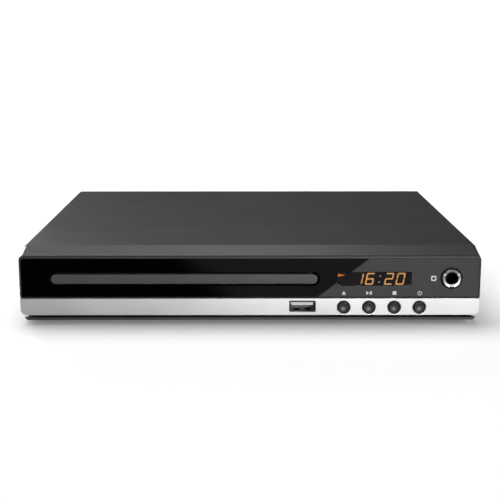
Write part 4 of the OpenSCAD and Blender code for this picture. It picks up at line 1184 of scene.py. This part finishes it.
@dataclass
class CoverScrews:
    """Screws of the top cover, with domed heads and cross recesses.

    Args:
        rear_x: X of the rear screws.
        rear_at: Y and Z of the seats of the rear screws.
        side_x: distance of the seats of the side screws from the middle.
        side_y: Y of the side screws.
        side_z: Z of the side screws.
        rear_l: length of the rear screws' shanks.
        side_l: length of the side screws' shanks.
        head_r: radius of a head.
        head_t: height of a head.
        rim_t: height of a head's rim.
        shank_r: radius of a shank.
        recess_r: radius of the recess.
        recess_d: depth of the recess.
        core_r: radius of the recess's middle.
        arm: half the angle of an arm of the recess, in degrees.
        overlap: how far the head's quarters reach into what is round them.
        dome_steps: faces from the recess to the rim of a head.
        round_steps: faces round a screw.
        quarter_steps: faces round each quarter of the head's middle.
    """

    rear_x: tuple[float, ...] = (-100.0 * MM, 0.0, 100.0 * MM)
    rear_at: tuple[float, float] = (98.3 * MM, 36.2 * MM)
    side_x: float = 120.6 * MM
    side_y: tuple[float, ...] = (-54.7 * MM, 45.3 * MM)
    side_z: float = 14.0 * MM
    rear_l: float = 8.0 * MM
    side_l: float = 6.0 * MM
    head_r: float = 2.79 * MM
    head_t: float = 1.0 * MM
    rim_t: float = 0.55 * MM
    shank_r: float = 1.25 * MM
    recess_r: float = 1.5 * MM
    recess_d: float = 0.7 * MM
    core_r: float = 0.4 * MM
    arm: float = 15.0
    overlap: float = 0.02 * MM
    dome_steps: int = 5
    round_steps: int = 40
    quarter_steps: int = 6

    def build(self, shop: Workshop) -> None:
        """Adds the screws as one piece.

        Args:
            shop: the workshop.
        """
        screws = bmesh.new()
        for x in self.rear_x:
            self._screw(screws, self.rear_l, Matrix.Translation((x, *self.rear_at)))
        for y in self.side_y:
            for side in (-1.0, 1.0):
                place = Matrix.Translation((side * self.side_x, y, self.side_z))
                turn = Matrix.Rotation(math.radians(-90.0 * side), 4, "Z")
                self._screw(screws, self.side_l, place @ turn)
        shop.add("cross_screws", screws, "cover_screws")

    def _dome(self, radius: float) -> float:
        """Returns the height of a head at a radius."""
        share = math.sqrt(max(0.0, 1.0 - (radius / self.head_r) ** 2))
        return self.rim_t + (self.head_t - self.rim_t) * share

    def _screw(self, into: BMesh, length: float, place: Matrix) -> None:
        """Adds one screw.

        Args:
            into: the bmesh that it goes into.
            length: length of its shank.
            place: where its seat goes, with +Y out of the casing.
        """
        screw = bmesh.new()
        floor = self.head_t - self.recess_d
        width = (self.head_r - self.recess_r) / self.dome_steps
        dome = [self.recess_r + width * step for step in range(self.dome_steps + 1)]
        turned(screw, ((0.0, floor), (self.recess_r, floor),
                       *((radius, self._dome(radius)) for radius in dome),
                       (self.head_r, 0.0), (self.shank_r, 0.0), (self.shank_r, -length),
                       (0.0, -length)), 0.0, 0.0, steps=self.round_steps)
        outer, root = self.recess_r + self.overlap, floor - self.overlap
        quarter = ((self.core_r, root), (self.core_r, self._dome(self.core_r)),
                   (outer, self._dome(outer)), (outer, root))
        for turn in range(4):
            turned(screw, quarter, 0.0, 0.0, 90.0 * turn + self.arm, 90.0 - 2 * self.arm,
                   self.quarter_steps, closed=True)
        bmesh.ops.transform(screw, matrix=place, verts=screw.verts)
        mesh = new_mesh(screw, "screw")
        into.from_mesh(mesh)
        bpy.data.meshes.remove(mesh)


# --- studio


@dataclass(frozen=True)
class SoftBox:
    """One soft studio light.

    Args:
        name: its name.
        place: where it stands.
        aim: the point it faces.
        size: width and height.
        power: in watts.
        spread: width of its beam, in degrees.
    """

    name: str
    place: tuple[float, float, float]
    aim: tuple[float, float, float]
    size: tuple[float, float]
    power: float
    spread: float = 180.0


@dataclass
class Studio:
    """Pale floor, soft light and the camera.

    Args:
        boxes: the soft lights.
        sky: strength of the even light from all round.
        backdrop: strength of the backdrop as the camera sees it.
        paper: how pale the floor is to the camera.
        bounce: how pale it is to the player, as if black flags stood on it.
        matt: its roughness.
        lift: how much lighter still the floor is to the camera, as if overexposed.
        sweep: distances between which the floor turns as pale as the backdrop.
        reach: half the width of the floor.
        eye: place of the camera.
        pitch: how far it looks down, in degrees.
        yaw: how far it turns to the left, in degrees.
        lens: focal length in millimetres.
        sensor: width of the sensor in millimetres.
        near: least distance at which it sees.
    """

    boxes: tuple[SoftBox, ...] = (
        SoftBox("overhead", (-0.23, 0.38, 1.1), (0.0, 0.0, 0.0), (1.2, 0.9), 13.4),
        SoftBox("back_left", (-0.848, 1.357, 0.45), (0.0, 0.0, 0.03), (0.35, 0.5), 12.0),
        SoftBox("front_right", (0.25, -1.3, 0.16), (0.06, -0.1, 0.01), (0.5, 0.3), 8.7),
        SoftBox("front_middle", (0.0, -1.3, 0.16), (0.0, -0.1, 0.01), (0.5, 0.3), 0.6),
        SoftBox("left", (-1.2, 0.0, 0.6), (0.0, 0.0, 0.03), (0.8, 0.8), 1.2),
        SoftBox("right", (1.2, 0.0, 0.6), (0.0, 0.0, 0.03), (0.8, 0.8), 2.6),
        SoftBox("key", (0.7, -0.75, 0.6), (0.08, -0.1, 0.02), (0.3, 0.3), 1.2),
        SoftBox("far_floor", (0.3, 0.95, 0.8), (0.3, 0.95, 0.0), (1.6, 0.4), 7.0, 70.0),
        SoftBox("near_floor", (0.0, -1.0, 0.8), (0.0, -1.0, 0.0), (1.6, 0.4), 7.0, 70.0),
    )
    sky: float = 0.02
    backdrop: float = 1.2
    paper: float = 1.0
    bounce: float = 0.3
    matt: float = 0.9
    lift: float = 0.11
    sweep: tuple[float, float] = (0.35, 1.1)
    reach: float = 1.3
    eye: tuple[float, float, float] = (-0.002, -0.63535, 0.15184)
    pitch: float = 11.9
    yaw: float = -0.21
    lens: float = 74.95
    sensor: float = 36.0
    near: float = 10 * MM

    def build(self) -> None:
        """Sets up floor, world, lights and camera."""
        self._floor()
        self._world()
        for box in self.boxes:
            self._light(box)
        self._camera()

    def _floor(self) -> None:
        """Adds the pale floor."""
        sheet = bmesh.new()
        bmesh.ops.create_grid(sheet, x_segments=1, y_segments=1, size=self.reach)
        floor = placed("floor", new_mesh(sheet, "floor"))
        paper = bpy.data.materials.new("pale_paper")
        paper.use_nodes = True
        tree = paper.node_tree
        seen = add_node(tree, "LightPath").outputs["Is Camera Ray"]
        point = add_node(tree, "TexCoord").outputs["Object"]
        away = add_node(tree, "VectorMath", {0: point}, operation="LENGTH")
        sweep = add_node(tree, "MapRange", {
            "Value": away.outputs["Value"], "From Min": self.sweep[0],
            "From Max": self.sweep[1], "To Min": self.lift}, interpolation_type="SMOOTHSTEP")
        glow = add_node(tree, "Math", {0: seen, 1: sweep.outputs["Result"]},
                        operation="MULTIPLY")
        feed(tree, tree.nodes["Principled BSDF"], {
            "Base Color": blended(tree, seen, grey(self.bounce), grey(self.paper)),
            "Roughness": self.matt, "Specular IOR Level": 0.0, "Emission Color": grey(1.0),
            "Emission Strength": glow.outputs["Value"]})
        floor.data.materials.append(paper)

    def _world(self) -> None:
        """Makes the even sky, and a white backdrop for the camera alone."""
        world = bpy.data.worlds.new("studio")
        bpy.context.scene.world = world
        world.use_nodes = True
        tree = world.node_tree
        seen = add_node(tree, "LightPath").outputs["Is Camera Ray"]
        strength = add_node(tree, "MapRange", {
            "Value": seen, "To Min": self.sky, "To Max": self.backdrop})
        feed(tree, tree.nodes["Background"], {
            "Color": grey(1.0), "Strength": strength.outputs["Result"]})

    @staticmethod
    def _light(box: SoftBox) -> None:
        """Adds one soft light.

        Args:
            box: what to add.
        """
        lamp = bpy.data.lights.new(box.name, "AREA")
        lamp.shape = "RECTANGLE"
        lamp.size, lamp.size_y = box.size
        lamp.energy = box.power
        lamp.spread = math.radians(box.spread)
        holder = placed(box.name, lamp)
        holder.location = box.place
        towards = Vector(box.aim) - Vector(box.place)
        holder.rotation_euler = towards.to_track_quat("-Z", "Y").to_euler()

    def _camera(self) -> None:
        """Adds the camera."""
        lens = bpy.data.cameras.new("camera")
        lens.lens = self.lens
        lens.sensor_width = self.sensor
        lens.clip_start = self.near
        holder = placed("camera", lens)
        holder.location = self.eye
        holder.rotation_euler = (math.radians(90.0 - self.pitch), 0.0, math.radians(self.yaw))
        bpy.context.scene.camera = holder
        bpy.context.scene.view_settings.view_transform = "Standard"


def main() -> None:
    """Builds the looks of the player in order."""
    logging.basicConfig(level=logging.INFO, format="%(message)s")
    shop = Workshop()
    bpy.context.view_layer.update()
    Studio().build()
    shop.dress_nodes()
    for assembly in (Front(), FrontPrints(), Display(), PhonoSockets(), CoverScrews()):
        assembly.build(shop)
    log.info("%d pieces made", shop.made)


if __name__ == "__main__":
    main()
